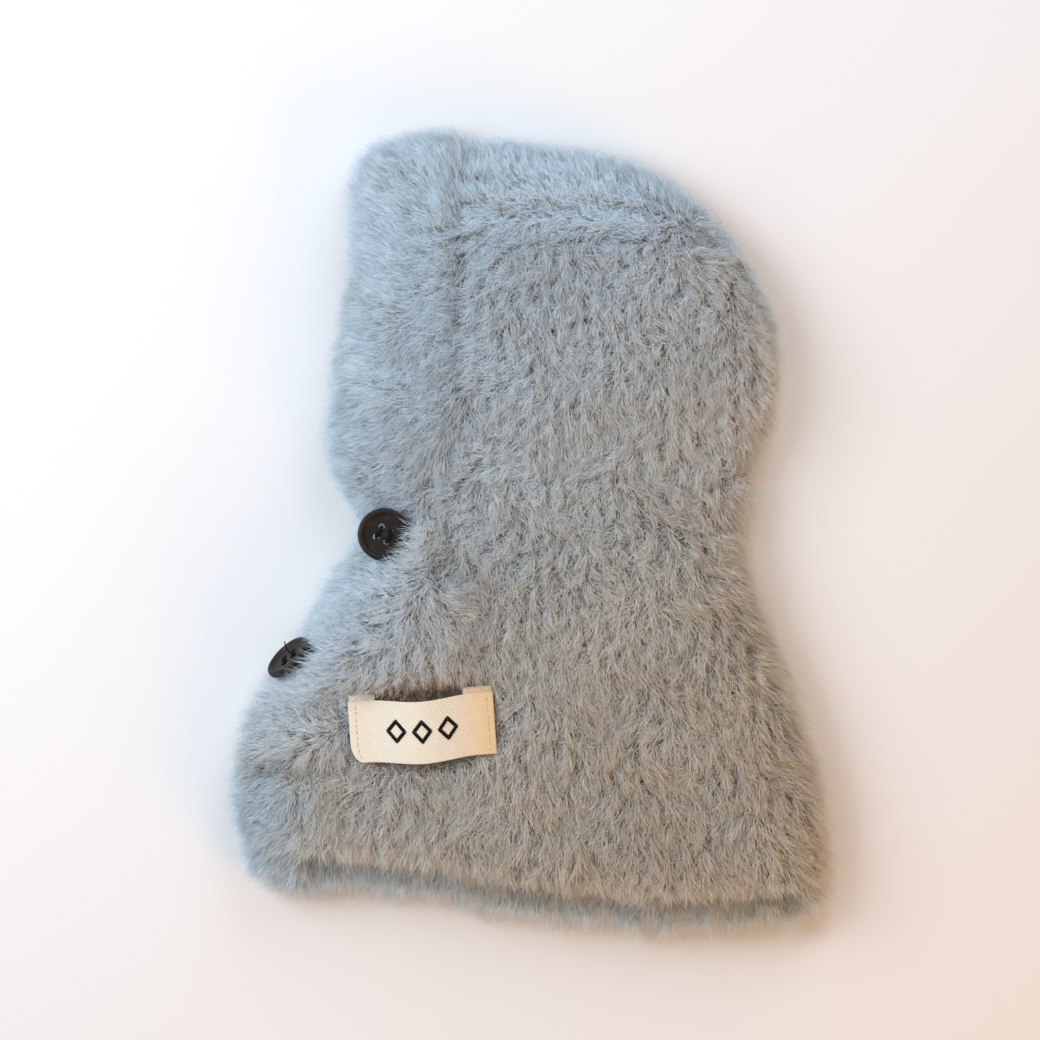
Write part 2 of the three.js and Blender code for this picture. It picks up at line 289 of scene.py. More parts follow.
@dataclass(frozen=True)
class SpunThread:
    """Spun polyester sewing thread, of two plies."""

    # To the eye: matt, with a fibre fuzz that breaks up its shade.

    name: str
    colour: str
    shade: str
    twist: float = 0.6 * MM

    def make(self) -> bpy.types.Material:
        """The material."""
        material, tree, shader = new_material(self.name)
        where = add_node(tree, "TexCoord")
        place = where.outputs["Object"]
        fuzz = add_node(tree, "TexNoise", {"Vector": place, "Scale": 0.5 / self.twist, "Detail": 4.0})
        tint = add_node(tree, "ValToRGB", {0: fuzz.outputs["Fac"]},
                        ramp=[(0.3, linear(self.shade)), (0.7, linear(self.colour))])
        plies = add_node(tree, "TexWave", {"Vector": place, "Scale": 0.16 / self.twist, "Distortion": 2.0},
                         bands_direction="DIAGONAL")
        bump = add_node(tree, "Bump", {"Height": plies.outputs["Fac"], "Distance": 0.15 * MM,
                                       "Strength": 0.6})
        set_inputs(tree, shader, {"Base Color": tint.outputs[0], "Normal": bump.outputs[0], "Roughness": 0.8,
                                  "Specular IOR Level": 0.15})
        return material


@dataclass(frozen=True)
class CottonTwill:
    """Unbleached cotton twill tape: slanting ribs and yarns of slightly uneven shade."""

    # To the eye: a fine slanting grain, matt, and a painted warm light towards one end.

    yarn: str = "#efe7d6"
    # gap: painted shade in the hollows between the ribs
    gap: str = "#d9ccb4"
    painted_warm_light: str = "#f6dcb8"  # painted warm light towards the back end, where lamp light shines through the tape
    rib: float = 0.8 * MM  # drawn twice as coarse as the real tape's, so that it shows

    def make(self) -> bpy.types.Material:
        """The material, in the tape's own UV, which is in metres."""
        material, tree, shader = new_material("cotton_twill_tape")
        uv = add_node(tree, "UVMap", uv_map="tape")
        ribs = add_node(tree, "TexWave", {"Vector": uv.outputs[0], "Scale": 0.31 / self.rib,
                                          "Distortion": 0.6, "Detail": 2.0, "Detail Scale": 4.0},
                        bands_direction="DIAGONAL")
        yarns = add_node(tree, "TexWave", {"Vector": uv.outputs[0], "Scale": 0.62 / self.rib,
                                           "Distortion": 0.8}, bands_direction="Y")
        uneven = add_node(tree, "TexNoise", {"Vector": uv.outputs[0], "Scale": 260.0, "Detail": 5.0})
        both = add_node(tree, "Math", {0: ribs.outputs["Fac"], 1: yarns.outputs["Fac"]}, operation="ADD")
        all_three = add_node(tree, "Math", {0: uneven.outputs["Fac"], 1: 0.9, 2: both.outputs[0]},
                             operation="MULTIPLY_ADD")
        height = add_node(tree, "MapRange", {0: all_three.outputs[0], 1: 0.3, 2: 2.4})
        # Painted shade: the tape is darker where its weave is low; the noise in the height gives the yarns'
        # own uneven shade.
        tint = add_node(tree, "ValToRGB", {0: height.outputs[0]},
                        ramp=[(0.15, linear(self.gap)), (0.6, linear(self.yarn))])
        along = add_node(tree, "SeparateXYZ", {0: uv.outputs[0]})
        # Painted light: the tape is tinted warm towards its back end, standing in for lamp light shining
        # through it.
        painted_light_share = add_node(tree, "MapRange", {0: along.outputs["X"], 1: 9 * MM, 2: 26 * MM},
                        interpolation_type="SMOOTHSTEP")
        painted_warm_light = add_node(tree, "Mix",
                        {"Factor": painted_light_share.outputs[0], "A": tint.outputs[0], "B": linear(self.painted_warm_light)},
                        data_type="RGBA", blend_type="MULTIPLY")
        bump = add_node(tree, "Bump", {"Height": height.outputs[0], "Distance": 0.18 * MM, "Strength": 0.6})
        set_inputs(tree, shader, {"Base Color": painted_warm_light.outputs["Result"], "Normal": bump.outputs[0],
                                  "Roughness": 0.86, "Sheen Weight": 0.15})
        return material


# The garment's skin.


@dataclass
class Skin:
    """The outer surface of all the knit solids, which says how deep a point lies and which way is out."""

    nodes: tuple[str, ...]
    rim_level: float = 4 * MM
    least_face: float = 1e-10  # twice the area under which a face counts as a sliver
    far: float = 0.2  # how far off another knit is looked for
    tree: BVHTree = field(init=False)
    normals: np.ndarray = field(init=False)
    rim: BVHTree = field(init=False)
    rim_normals: np.ndarray = field(init=False)

    def __post_init__(self) -> None:
        """Finds the outer faces: those that see no other knit."""
        points, faces, start = [], [], 0
        for name in self.nodes:
            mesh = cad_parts[name].data
            mesh.calc_loop_triangles()
            points.append(read(mesh.vertices, "co", 3))
            faces.append(read(mesh.loop_triangles, "vertices", 3, np.int32) + start)
            start += len(mesh.vertices)
        points, faces = np.concatenate(points).astype(float), np.concatenate(faces)
        a, b, c = (points[faces[:, i]] for i in range(3))
        cross = np.cross(b - a, c - a)
        sound = np.linalg.norm(cross, axis=1) > self.least_face
        faces, cross = faces[sound], cross[sound]
        normals, centres = unit(cross), points[faces].mean(axis=1)
        whole = BVHTree.FromPolygons(points.tolist(), faces.tolist())
        tilts = [np.array([0, 0, t]) for t in (0.0, 0.5, -0.5)]

        def is_free(centre: np.ndarray, normal: np.ndarray) -> bool:
            """Whether nothing is seen from a face, straight out and a little up and down."""
            start = Vector(centre + normal * 0.05 * MM)
            return all(whole.ray_cast(start, Vector(normal + tilt), self.far)[0] is None for tilt in tilts)

        seen = [is_free(centre, normal) for centre, normal in zip(centres, normals)]
        self.normals = normals[seen]
        self.tree = BVHTree.FromPolygons(points.tolist(), faces[seen].tolist())
        low = points[faces][:, :, 2].min(axis=1)
        rim = np.array(seen) & (np.abs(normals[:, 2]) < 0.1) & (low < 1 * MM)
        self.rim_normals = normals[rim]
        self.rim = BVHTree.FromPolygons(points.tolist(), faces[rim].tolist())

    def inward(self, points: np.ndarray) -> tuple[np.ndarray, np.ndarray]:
        """Place in plan.

        Args:
            points: places in the row frame.

        Returns:
            How far each point is from the garment's outline in plan, and the way out there.
        """
        found = [self.rim.find_nearest(Vector((x, y, self.rim_level))) for x, y, _ in points]
        return np.array([f[3] for f in found]), self.rim_normals[[f[2] for f in found]]

    def outward(self, points: np.ndarray) -> tuple[np.ndarray, np.ndarray]:
        """Depth and outward direction.

        Args:
            points: places in the row frame.

        Returns:
            How far each point is from the outer surface, and that surface's normal there.
        """
        found = [self.tree.find_nearest(Vector(p)) for p in points]
        return np.array([f[3] for f in found]), self.normals[[f[2] for f in found]]


class Relief:
    """How the lying garment swells and creases, as heights added to the near side."""

    @staticmethod
    def mound(x: np.ndarray, y: np.ndarray, centre: tuple[float, float], reach: tuple[float, float],
              turn: float = 0.0) -> np.ndarray:
        """A soft mound of height one.

        Args:
            x, y: places.
            centre: the mound's middle.
            reach: its reach along and across.
            turn: the angle of its long side, in degrees.

        Returns:
            The share of the mound's height at each place.
        """
        c, s = math.cos(math.radians(turn)), math.sin(math.radians(turn))
        along, across = (x - centre[0]) * c + (y - centre[1]) * s, (y - centre[1]) * c - (x - centre[0]) * s
        return np.exp(-((along / reach[0]) ** 2) - (across / reach[1]) ** 2)

    @staticmethod
    def shade(roots: np.ndarray) -> np.ndarray:
        """The share of strands painted with shade, a warm brown with light bounced off the label: behind the
        label's top edge, and in the crease beside it.

        Args:
            roots: the strands' roots.

        Returns:
            A share from 0 to 1 for each root.
        """
        x, y = roots[:, 0], roots[:, 1]
        over = Relief.mound(x, y, (-0.040, -0.0625), (0.0225, 0.0075), 3)
        crease = 0.3 * Relief.mound(x, y, (-0.090, -0.0890), (0.020, 0.0045), 2)
        below = 0.35 * Relief.mound(x, y, (-0.069, -0.0950), (0.009, 0.0080), 0)
        return np.clip(smoothstep(0.25, 0.7, over) + crease + below, 0, 1) * (roots[:, 2] > 10 * MM)

    @staticmethod
    def tone(roots: np.ndarray) -> np.ndarray:
        """Painted light and shade: how much paler the pile is on the lit swells, and darker in the shaded
        folds, crease and seam round them.

        Args:
            roots: the strands' roots.

        Returns:
            What to add to each root's tone.
        """
        x, y = roots[:, 0], roots[:, 1]
        # Painted light on the lit chest swell; painted shade along its lower edge, under the top button, in
        # the valley to its right, in the crease, below the label and along the brim seam.
        paler = 0.24 * Relief.mound(x, y, (-0.060, -0.034), (0.030, 0.020), -12)
        paler -= 0.22 * Relief.mound(x, y, (-0.040, -0.0530), (0.026, 0.0035), 4)
        paler -= 0.30 * Relief.mound(x, y, (-0.046, -0.0150), (0.030, 0.0040), -6)
        paler -= 0.20 * Relief.mound(x, y, (-0.022, -0.0380), (0.0045, 0.020))
        paler -= 0.45 * Relief.mound(x, y, (-0.092, -0.0890), (0.024, 0.0040), 2)
        paler -= 0.30 * Relief.mound(x, y, (-0.069, -0.0950), (0.010, 0.0080))
        paler -= 0.30 * Relief.mound(x, y, (-0.0255, 0.080), (0.0045, 0.055))
        return paler * (roots[:, 2] > 10 * MM)

    def height(self, x: np.ndarray, y: np.ndarray) -> np.ndarray:
        """The height added at each place.

        Args:
            x, y: places.

        Returns:
            A height for each place.
        """
        chest = 8.5 * smoothstep(0.20, 0.66, self.mound(x, y, (-0.056, -0.036), (0.037, 0.026), -12))
        chest -= 4.0 * self.mound(x, y, (-0.040, -0.0635), (0.024, 0.0055), 4)
        chest -= 2.5 * self.mound(x, y, (-0.048, -0.0135), (0.034, 0.0050), -6)
        nest = 7.0 * self.mound(x, y, (-0.0410, -0.006), (0.006, 0.012), 0)
        nest += 5.0 * self.mound(x, y, (-0.0830, -0.0580), (0.010, 0.0055), 41)
        crease = -6.0 * self.mound(x, y, (-0.092, -0.0885), (0.024, 0.0040), 2)
        belly = 1.5 * self.mound(x, y, (-0.085, -0.112), (0.022, 0.014), 0)
        brim = 2.5 * self.mound(x, y, (-0.052, 0.085), (0.016, 0.07), 0)
        brim_seam = -3.0 * self.mound(x, y, (-0.026, 0.09), (0.0035, 0.05), 0)
        gusset_seam = -0.6 * self.mound(x, y, (0.03, 0.107), (0.05, 0.003), 0)
        label = -2.0 * smoothstep(0.2, 0.8, self.mound(x, y, (-0.040, -0.0745), (0.034, 0.015), 4))
        button = -2.5 * self.mound(x, y, (-0.0547, -0.002), (0.011, 0.011), 0)
        rows = 1.3 * np.cos((y - FIRST_ROW) * 2 * math.pi / ROW_PITCH)
        rows *= smoothstep(0.106, 0.110, y) * smoothstep(-0.026, -0.02, x)
        return (chest + nest + crease + belly + brim + brim_seam + gusset_seam + label + button + rows) * MM


@dataclass(frozen=True)
class Stroke:
    """One stroke of the comb: which way the pile lies at a place, in metres and degrees."""

    x: float
    y: float
    angle: float
    reach: float = 14 * MM
    force: float = 1.0


@dataclass
class KnitPanel:
    """One panel of brushed knit: its ground fabric and the way its pile is combed."""

    node: str
    comb: tuple[Stroke, ...]
    flat: tuple[float, float]  # the rectangle that it is cut from
    strands: int  # of each kind of hair
    length: float = 9.5 * MM
    edge_room: float = 1.0 * MM  # more room at an edge that the pile is combed over
    cool: float = 0.0  # rows of the colour card that its pile is cooler by; on the far layer this is painted cool window light
    # paler: on the far layer, painted light that lifts its fringe out of the near layer's shadow
    paler: float = 0.0
    under: float = 0.35  # how thickly its pile grows where it lies pressed under the garment
    tangle: float = 1.0  # how far its locks stray from the comb's way
    columns: float = 0.0  # spacing of the knit's columns, along X
    rows: float = 0.0  # spacing of its rows, along Y
    area: float = field(init=False)  # the cut's area, in square metres
    ground: bpy.types.Object = field(init=False)
    depth: np.ndarray = field(init=False)
    out: np.ndarray = field(init=False)

    voxel: float = 1.5 * MM
    pile_room: float = 3.2 * MM
    side_room: float = 2.8 * MM
    base_room: float = 0.7 * MM
    felt: float = 5.5 * MM  # how deep the pile's room is felt
    edge_felt: float = 28 * MM  # how far in from the outline an edge's room is felt
    tuck: float = 2.5 * MM  # how far the rim's bottom and top draw in from its widest
    widest: float = 9 * MM

    def __post_init__(self) -> None:
        """Works out the cut's area: half of the closed surface of the CAD solid, which is a thin wall."""
        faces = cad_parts[self.node].data.polygons
        self.area = round(sum(face.area for face in faces) / 2, 4)

    def make_ground(self, skin: Skin, relief: Relief, finish: bpy.types.Material) -> bpy.types.Object:
        """Builds the ground fabric inside the room that the solid gives it and its pile.

        Args:
            skin: the garment's outer surface.
            relief: the swells and creases of the near side.
            finish: the ground's material.

        Returns:
            The ground's object.
        """
        ground = placed(self.node + "_knit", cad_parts[self.node].data.copy())
        remesh = ground.modifiers.new("remesh", "REMESH")
        remesh.mode, remesh.voxel_size, remesh.adaptivity = "VOXEL", self.voxel, 0.0
        mesh = applied(ground).data
        points = read(mesh.vertices, "co", 3).astype(float)
        self.depth, self.out = skin.outward(points)
        edges = read(mesh.edges, "vertices", 2, np.int32)
        move = self.relaxed(self.shaping(points, self.depth, self.out, skin, relief), edges, 4)
        points = self.relaxed(points + move, edges, 6)
        points[:, 2] = np.maximum(points[:, 2], 0.5 * MM)
        mesh.vertices.foreach_set("co", points.astype(np.float32).ravel())
        shade_smooth(mesh)
        mesh.materials.clear()
        mesh.materials.append(finish)
        mesh.update()
        self.ground = ground
        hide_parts(self.node)
        return ground

    def shaping(self, points: np.ndarray, depth: np.ndarray, out: np.ndarray, skin: Skin,
                relief: Relief) -> np.ndarray:
        """How far each point of the solid moves to make room for the pile and to swell and crease.

        Args:
            points: the solid's points.
            depth, out: their depth under the outer surface, and the way out.
            skin: the garment's outer surface.
            relief: its swells and creases.

        Returns:
            One move for each point.
        """
        felt = 1 - smoothstep(0, self.felt, depth)
        inset, away = skin.inward(points)
        over = np.clip((self.combed(points[:, 0], points[:, 1]) * away).sum(axis=1), 0, 1)
        edge = (self.side_room + self.edge_room * over) * (1 - smoothstep(0, self.edge_felt, inset))
        belly = ((points[:, 2] - self.widest) / self.widest) ** 2 * self.tuck * np.exp(-inset / (5 * MM))
        level = np.where(out[:, 2] < -0.5, self.base_room, self.pile_room) * np.abs(out[:, 2])
        hem = self.side_room * np.sqrt(np.maximum(0, 1 - out[:, 2] ** 2)) * (inset > 6 * MM)
        near = smoothstep(10 * MM, 18 * MM, points[:, 2]) * smoothstep(0.2, 0.6, out[:, 2])
        move = -away * (edge + belly)[:, None] - out * ((level + hem) * felt)[:, None]
        move[:, 2] += relief.height(points[:, 0], points[:, 1]) * near * felt
        return move

    @staticmethod
    def relaxed(values: np.ndarray, edges: np.ndarray, rounds: int) -> np.ndarray:
        """Draws each value half way to the mean of its neighbours.

        Args:
            values: one row for each point of the mesh.
            edges: the pairs of points that are neighbours.
            rounds: how many times over.

        Returns:
            The relaxed values.
        """
        neighbours = np.bincount(edges.ravel(), minlength=len(values))[:, None]
        for _ in range(rounds):
            total = np.zeros_like(values)
            for a, b in ((0, 1), (1, 0)):
                for k in range(values.shape[1]):
                    total[:, k] += np.bincount(edges[:, a], values[edges[:, b], k], len(values))
            values = 0.5 * values + 0.5 * total / np.maximum(neighbours, 1)
        return values

    @staticmethod
    def wobble(roots: np.ndarray) -> np.ndarray:
        """How far a knit column wanders sideways at each root."""
        return 1.2 * MM * np.sin(roots[:, 1] / (11 * MM))

    def gathered(self, roots: np.ndarray) -> np.ndarray:
        """Draws roots towards the middles of the knit's columns and rows.

        Args:
            roots: the strands' roots.

        Returns:
            The drawn roots.
        """
        drawn = roots.copy()
        wobble = self.wobble(roots)
        if self.columns:
            turn = 2 * math.pi * (roots[:, 0] + wobble) / self.columns
            drawn[:, 0] -= 0.7 * self.columns / (2 * math.pi) * np.sin(turn)
        if self.rows:
            turn = 2 * math.pi * (roots[:, 1] - FIRST_ROW + 0.4 * wobble) / self.rows
            drawn[:, 1] -= 0.4 * self.rows / (2 * math.pi) * np.sin(turn)
        return drawn

    def stripe(self, roots: np.ndarray) -> np.ndarray:
        """Painted light and shade: how much paler the pile is on the lit crests of the knit's columns and rows
        than in the shade between them.

        Args:
            roots: the strands' roots.

        Returns:
            What to add to each root's tone.
        """
        paler = np.zeros(len(roots))
        # Painted light on the crests, painted shade in the hollows between them.
        if self.columns:
            paler += 0.14 * np.cos(2 * math.pi * (roots[:, 0] + self.wobble(roots)) / self.columns)
        if self.rows:
            paler += 0.24 * np.cos(2 * math.pi * (roots[:, 1] - FIRST_ROW) / self.rows)
        return paler

    def trim(self, roots: np.ndarray) -> np.ndarray:
        """The share of the pile's length that is left: less round the buttons and under the label.

        Args:
            roots: the strands' roots.

        Returns:
            A share for each root, over 1 where the pile laps over a button.
        """
        x, y = roots[:, 0], roots[:, 1]
        upper = smoothstep(8 * MM, 14 * MM, roots[:, 2])
        label = smoothstep(0.25, 0.6, Relief.mound(x, y, (-0.040, -0.0745), (0.031, 0.0135), 4))
        top = smoothstep(0.3, 0.7, Relief.mound(x, y, (-0.0567, -0.002), (0.011, 0.011)))
        low = smoothstep(0.3, 0.7, Relief.mound(x, y, (-0.0960, -0.0450), (0.011, 0.009), 48))
        crease = Relief.mound(x, y, (-0.090, -0.0885), (0.022, 0.0045), 2)
        under = Relief.mound(x, y, (-0.040, -0.0590), (0.024, 0.0080), 3)
        longer = 0.35 * Relief.mound(x, y, (-0.0405, -0.007), (0.007, 0.012))
        longer += 0.5 * Relief.mound(x, y, (-0.0810, -0.0600), (0.012, 0.007), 41)
        hem = upper * 0.12 * smoothstep(-0.02, 0.02, x) * (1 - smoothstep(4 * MM, 15 * MM, y - self.hem(x)))
        corner = Relief.mound(x, y, (-0.080, 0.138), (0.016, 0.018))
        shoulder = Relief.mound(x, y, (0.082, 0.118), (0.026, 0.022))
        less = upper * (0.6 * np.maximum(label, under) + 0.45 * top + 0.45 * low + 0.35 * crease)
        return np.clip(1 + longer - less - hem - 0.4 * corner - 0.4 * shoulder, 0.3, 1.5)

    @staticmethod
    def hem(x: np.ndarray) -> np.ndarray:
        """Where the near layer's hem runs at each X."""
        across = np.array([-130, -72, -20, 30, 64, 130]) * MM
        return np.interp(x, across, np.array([-121, -126, -132, -140, -141, -133]) * MM)

    def combed(self, x: np.ndarray, y: np.ndarray) -> np.ndarray:
        """The way the pile lies at each place, as a level unit direction.

        Args:
            x, y: places.

        Returns:
            One direction for each place.
        """
        total = np.zeros((len(x), 3))
        for stroke in self.comb:
            away = (x - stroke.x) ** 2 + (y - stroke.y) ** 2
            weight = stroke.force * (np.exp(-away / (2 * stroke.reach**2)) + 1e-9)
            total[:, 0] += weight * math.cos(math.radians(stroke.angle))
            total[:, 1] += weight * math.sin(math.radians(stroke.angle))
        return unit(total)


# The pile.


@dataclass(frozen=True)
class Clearing:
    """Room that the pile keeps out of, round a part: a drum or box that stands upright in its own frame."""

    place: Matrix  # its own frame in the row frame
    reach: tuple[float, float]
    low: float
    high: float
    is_round: bool

    def holds(self, points: np.ndarray) -> np.ndarray:
        """Which points are in it."""
        turned = np.array(self.place.inverted(), float)
        own = points @ turned[:3, :3].T + turned[:3, 3]
        u, v = np.abs(own[:, 0]) / self.reach[0], np.abs(own[:, 1]) / self.reach[1]
        level = (own[:, 2] > self.low) & (own[:, 2] < self.high)
        return level & ((u * u + v * v < 1) if self.is_round else (u < 1) & (v < 1))


@dataclass(frozen=True)
class Fibre:
    """How one kind of fibre grows.

    Angles are in degrees, above the ground at the root and at the tip. scatter is how far a fibre strays from
    its lock's way, and gather is how far a lock's fibres draw together at their tips.
    """

    rings: int
    share: float  # of the panel's pile length
    width: float
    scatter: float
    gather: float
    root_rise: float
    tip_rise: float
    curl: float
    paler: float
    most: int  # strands in one piece


class Hair(Enum):
    """The fibres of brushed pile: long ones in locks, and short tangled down that fills the gaps.

    Their widths are about ten times the real yarn's, because real pile is too fine and too dense to build.
    """

    GUARD = Fibre(rings=3, share=1.0, width=0.26 * MM, scatter=14, gather=0.72, root_rise=58, tip_rise=12,
                  curl=1.3, paler=0.06, most=12000)
    DOWN = Fibre(rings=2, share=0.62, width=0.34 * MM, scatter=42, gather=0.15, root_rise=62, tip_rise=30,
                 curl=1.6, paler=0.0, most=19000)


@dataclass
class Pile:
    """Grows the strands of every panel."""

    seed: int = 27
    lock: float = 2.3 * MM  # the size of a lock
    tuft: float = 6.5 * MM  # a handful of locks that lie alike
    clearings: list[Clearing] = field(default_factory=list)
    rng: np.random.Generator = field(init=False)

    def __post_init__(self) -> None:
        """Seeds the strands' chance."""
        self.rng = np.random.default_rng(self.seed)

    @staticmethod
    def chance(cells: np.ndarray, salt: int) -> np.ndarray:
        """An even random number from 0 to 1 for each cell, the same one each time.

        Args:
            cells: three whole numbers for each cell.
            salt: a number that tells this draw from the others.

        Returns:
            One number for each cell.
        """
        primes = np.array([73856093, 19349663, 83492791], np.int64)
        mixed = cells.astype(np.int64) @ primes + salt * 2654435761
        mixed = (mixed ^ (mixed >> 13)) * 1274126177
        return ((mixed ^ (mixed >> 16)) & 0xFFFFFF) / float(0x1000000)

    def locks(self, roots: np.ndarray) -> tuple[np.ndarray, np.ndarray]:
        """The lock that each root belongs to.

        Args:
            roots: the strands' roots.

        Returns:
            Each root's lock centre, and the lock's cell.
        """
        home = np.floor(roots / self.lock).astype(np.int64)
        best, centre, cell = np.full(len(roots), 1e9), np.zeros_like(roots), home.copy()
        for step in np.ndindex(3, 3, 3):
            near = home + np.array(step) - 1
            jitter = np.stack([self.chance(near, 11 + k) for k in range(3)], axis=1)
            place = (near + jitter) * self.lock
            away = np.linalg.norm(place - roots, axis=1)
            closer = away < best
            best[closer], centre[closer], cell[closer] = away[closer], place[closer], near[closer]
        return centre, cell

    def cover(self, panel: KnitPanel, finish: bpy.types.Material) -> list[bpy.types.Object]:
        """Grows all the hair of one panel.

        Args:
            panel: the panel, whose ground is made.
            finish: the yarn.

        Returns:
            The pieces that hold its strands.
        """
        pieces = []
        for hair in Hair:
            parts = math.ceil(panel.strands / hair.value.most)
            for i in range(parts):
                grown = self.grow(panel, hair, panel.strands // parts)
                pieces.append(self.piece(f"{panel.node}_{hair.name.lower()}_{i + 1}", grown, finish))
                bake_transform(pieces[-1])
        return pieces

    def grow(self, panel: KnitPanel, hair: Hair, number: int) -> dict:
        """Grows strands of one kind on one panel.

        Args:
            panel: the knit they grow on.
            hair: the kind of fibre.
            number: how many to plant.

        Returns:
            The strands' paths, widths and colours.
        """
        mesh = panel.ground.data
        mesh.calc_loop_triangles()
        faces = mesh.loop_triangles
        index, area = read(faces, "vertices", 3, np.int32), read(faces, "area", 1)
        normal = read(faces, "normal", 3).astype(float)
        points = read(mesh.vertices, "co", 3).astype(float)
        depth, out = panel.depth[index].max(axis=1), unit(panel.out[index].mean(axis=1))
        height = points[index].mean(axis=1)[:, 2]
        outer = (depth < 3.6 * MM) & ((out * normal).sum(axis=1) > 0.0)
        weight = area * outer * np.where(out[:, 2] < -0.5, panel.under, 1.0)
        weight *= np.where((out[:, 2] > 0.5) & (height < 10 * MM), 6.0, 1.0)  # the far layer below the hem
        weight *= np.where((out[:, 1] < -0.5) & (height < 11 * MM), 3.0, 1.0)  # the far hem's edge
        pick = self.rng.choice(len(faces), number, p=weight / weight.sum())
        u, v = self.rng.random((2, number, 1))
        u, v = np.where(u + v > 1, 1 - u, u), np.where(u + v > 1, 1 - v, v)
        a, b, c = (points[index[pick, i]] for i in range(3))
        roots = a + u * (b - a) + v * (c - a)
        out = unit(out[pick] * 0.75 + normal[pick] * 0.25)
        level = (np.abs(out[:, 2]) > 0.8)[:, None]
        roots = np.where(level, panel.gathered(roots), roots)
        return self.strands(panel, hair.value, roots, out)

    def strands(self, panel: KnitPanel, fibre: Fibre, roots: np.ndarray, out: np.ndarray) -> dict:
        """Shapes the strands from their roots.

        Args:
            panel: the knit they grow on.
            fibre: how they grow.
            roots, out: where each one starts and which way is out there.

        Returns:
            The strands' paths, widths and colours.
        """
        rng, number = self.rng, len(roots)
        centre, cell = self.locks(roots)
        below = out[:, 2] < -0.4  # pressed under the garment
        way = panel.combed(centre[:, 0], centre[:, 1])
        x, y = centre[:, 0] / MM, centre[:, 1] / MM
        swirl = 0.24 * np.sin(x / 7.1 + 1.7 * np.sin(y / 9.0))
        swirl += 0.20 * np.sin(y / 5.3 + 1.4 * np.sin(x / 8.0))
        tuft = np.floor(centre / self.tuft).astype(np.int64)
        swirl = swirl + (self.chance(cell, 1) - 0.5) * 0.8 + (self.chance(tuft, 21) - 0.5) * 0.7
        turn = panel.tangle * swirl
        turn += rng.normal(0, math.radians(fibre.scatter), number)
        cos, sin = np.cos(turn), np.sin(turn)
        along, aside, up = way.T
        way = np.stack([along * cos - aside * sin, along * sin + aside * cos, up], axis=1)
        outward = (way * out).sum(axis=1)
        flat = unit(way - out * outward[:, None] + 1e-6)
        steep = np.abs(outward)
        across = unit(np.cross(out, flat))
        length = panel.length * fibre.share * (0.72 + 0.45 * self.chance(cell, 2))
        length = length * rng.uniform(0.8, 1.15, number) * panel.trim(roots)
        stray = rng.random(number) < 0.08
        rise0 = np.radians(fibre.root_rise + 22 * (self.chance(cell, 3) - 0.5) + rng.normal(0, 8, number))
        rise1 = np.radians(fibre.tip_rise + 14 * (self.chance(cell, 4) - 0.5) + rng.normal(0, 6, number))
        rise0, rise1 = rise0 + steep * 0.3, rise1 + steep * 0.45 + stray * 0.4
        rise0, rise1 = np.where(below, 0.05, rise0), np.where(below, -0.02, rise1)
        steps = np.linspace(0, 1, fibre.rings + 1)
        path = [roots - out * np.where(below, 0.0, 0.5 * MM)[:, None]]
        bend = fibre.curl * (rng.normal(0, 0.45, number) + (self.chance(cell, 5) - 0.5) * 0.8)
        for k in range(fibre.rings):
            mid = (steps[k] + steps[k + 1]) / 2
            rise = rise0 + (rise1 - rise0) * mid
            side = bend * (mid - 0.35)
            heading = flat * (np.cos(rise) * np.cos(side))[:, None]
            heading += across * (np.cos(rise) * np.sin(side))[:, None]
            heading += out * np.sin(rise)[:, None]
            path.append(path[-1] + heading * (length * (steps[k + 1] - steps[k]))[:, None])
        offset = ((roots - centre) * across).sum(axis=1)[:, None] * across
        gather = fibre.gather * (0.55 + 0.45 * self.chance(cell, 6))[:, None]
        for k in range(1, fibre.rings + 1):
            path[k] = path[k] - offset * gather * steps[k] ** 1.3
            path[k][:, 2] = np.maximum(path[k][:, 2], 0.3 * MM)
        patch = 0.10 * np.sin(x / 11.0 + 2.1 * np.sin(y / 19.0)) + 0.10 * np.sin(y / 9.0 - x / 23.0)
        patch += (self.chance(tuft, 22) - 0.5) * 0.3 + panel.stripe(roots)
        # Painted light and shade: paler on the lit swells, darker in the shaded folds, crease and seam, and a
        # little paler in the label's shade for its warm bounce light.
        patch += Relief.tone(roots) + 0.12 * Relief.shade(roots)
        tone = 0.5 + fibre.paler + panel.paler + patch + (self.chance(cell, 7) - 0.5) * 0.42
        tone += rng.normal(0, 0.12, number)
        # Painted light: the hue row follows the cool window light and warm lamp light across the garment; the
        # per-lock and per-strand scatter is the yarn's own.
        warmth = self.warmth(roots) - panel.cool + (self.chance(cell, 8) - 0.5) * 0.9
        warmth += rng.normal(0, 0.35, number)
        kept = np.ones(number, bool)
        for clearing in self.clearings:
            for place in path:
                kept &= ~clearing.holds(place)
        thick = fibre.width * rng.uniform(0.75, 1.2, number)
        # Painted shade: in the label's shadow and the crease, most strands take the last, brown row, warmed by
        # light bounced off the label.
        brown = rng.random(number) < 0.85 * Relief.shade(roots)
        hue = np.where(brown, HUES - 1, np.clip(np.round(warmth), 0, HUES - 2))
        return {"path": [place[kept] for place in path], "across": across[kept], "steps": steps,
                "thick": thick[kept], "tone": np.clip(tone, 0.02, 0.98)[kept], "hue": hue[kept]}

    @staticmethod
    def warmth(roots: np.ndarray) -> np.ndarray:
        """Which row of the colour card a place leans to, as painted light: cool at the brim and crown, where
        the window light falls, and warm low on the back, where the lamp light falls; cooler again on the lit
        chest and at the lower front.

        Args:
            roots: the strands' roots.

        Returns:
            A row for each root, not yet rounded.
        """
        x, y = roots[:, 0], roots[:, 1]
        warm = 0.1 + 5.0 * smoothstep(-0.10, 0.12, x * 0.75 - y * 0.75)
        warm -= 1.0 * Relief.mound(x, y, (-0.060, -0.034), (0.034, 0.024), -12)
        return warm - 2.2 * smoothstep(-0.070, -0.105, x) * smoothstep(-0.080, -0.100, y)

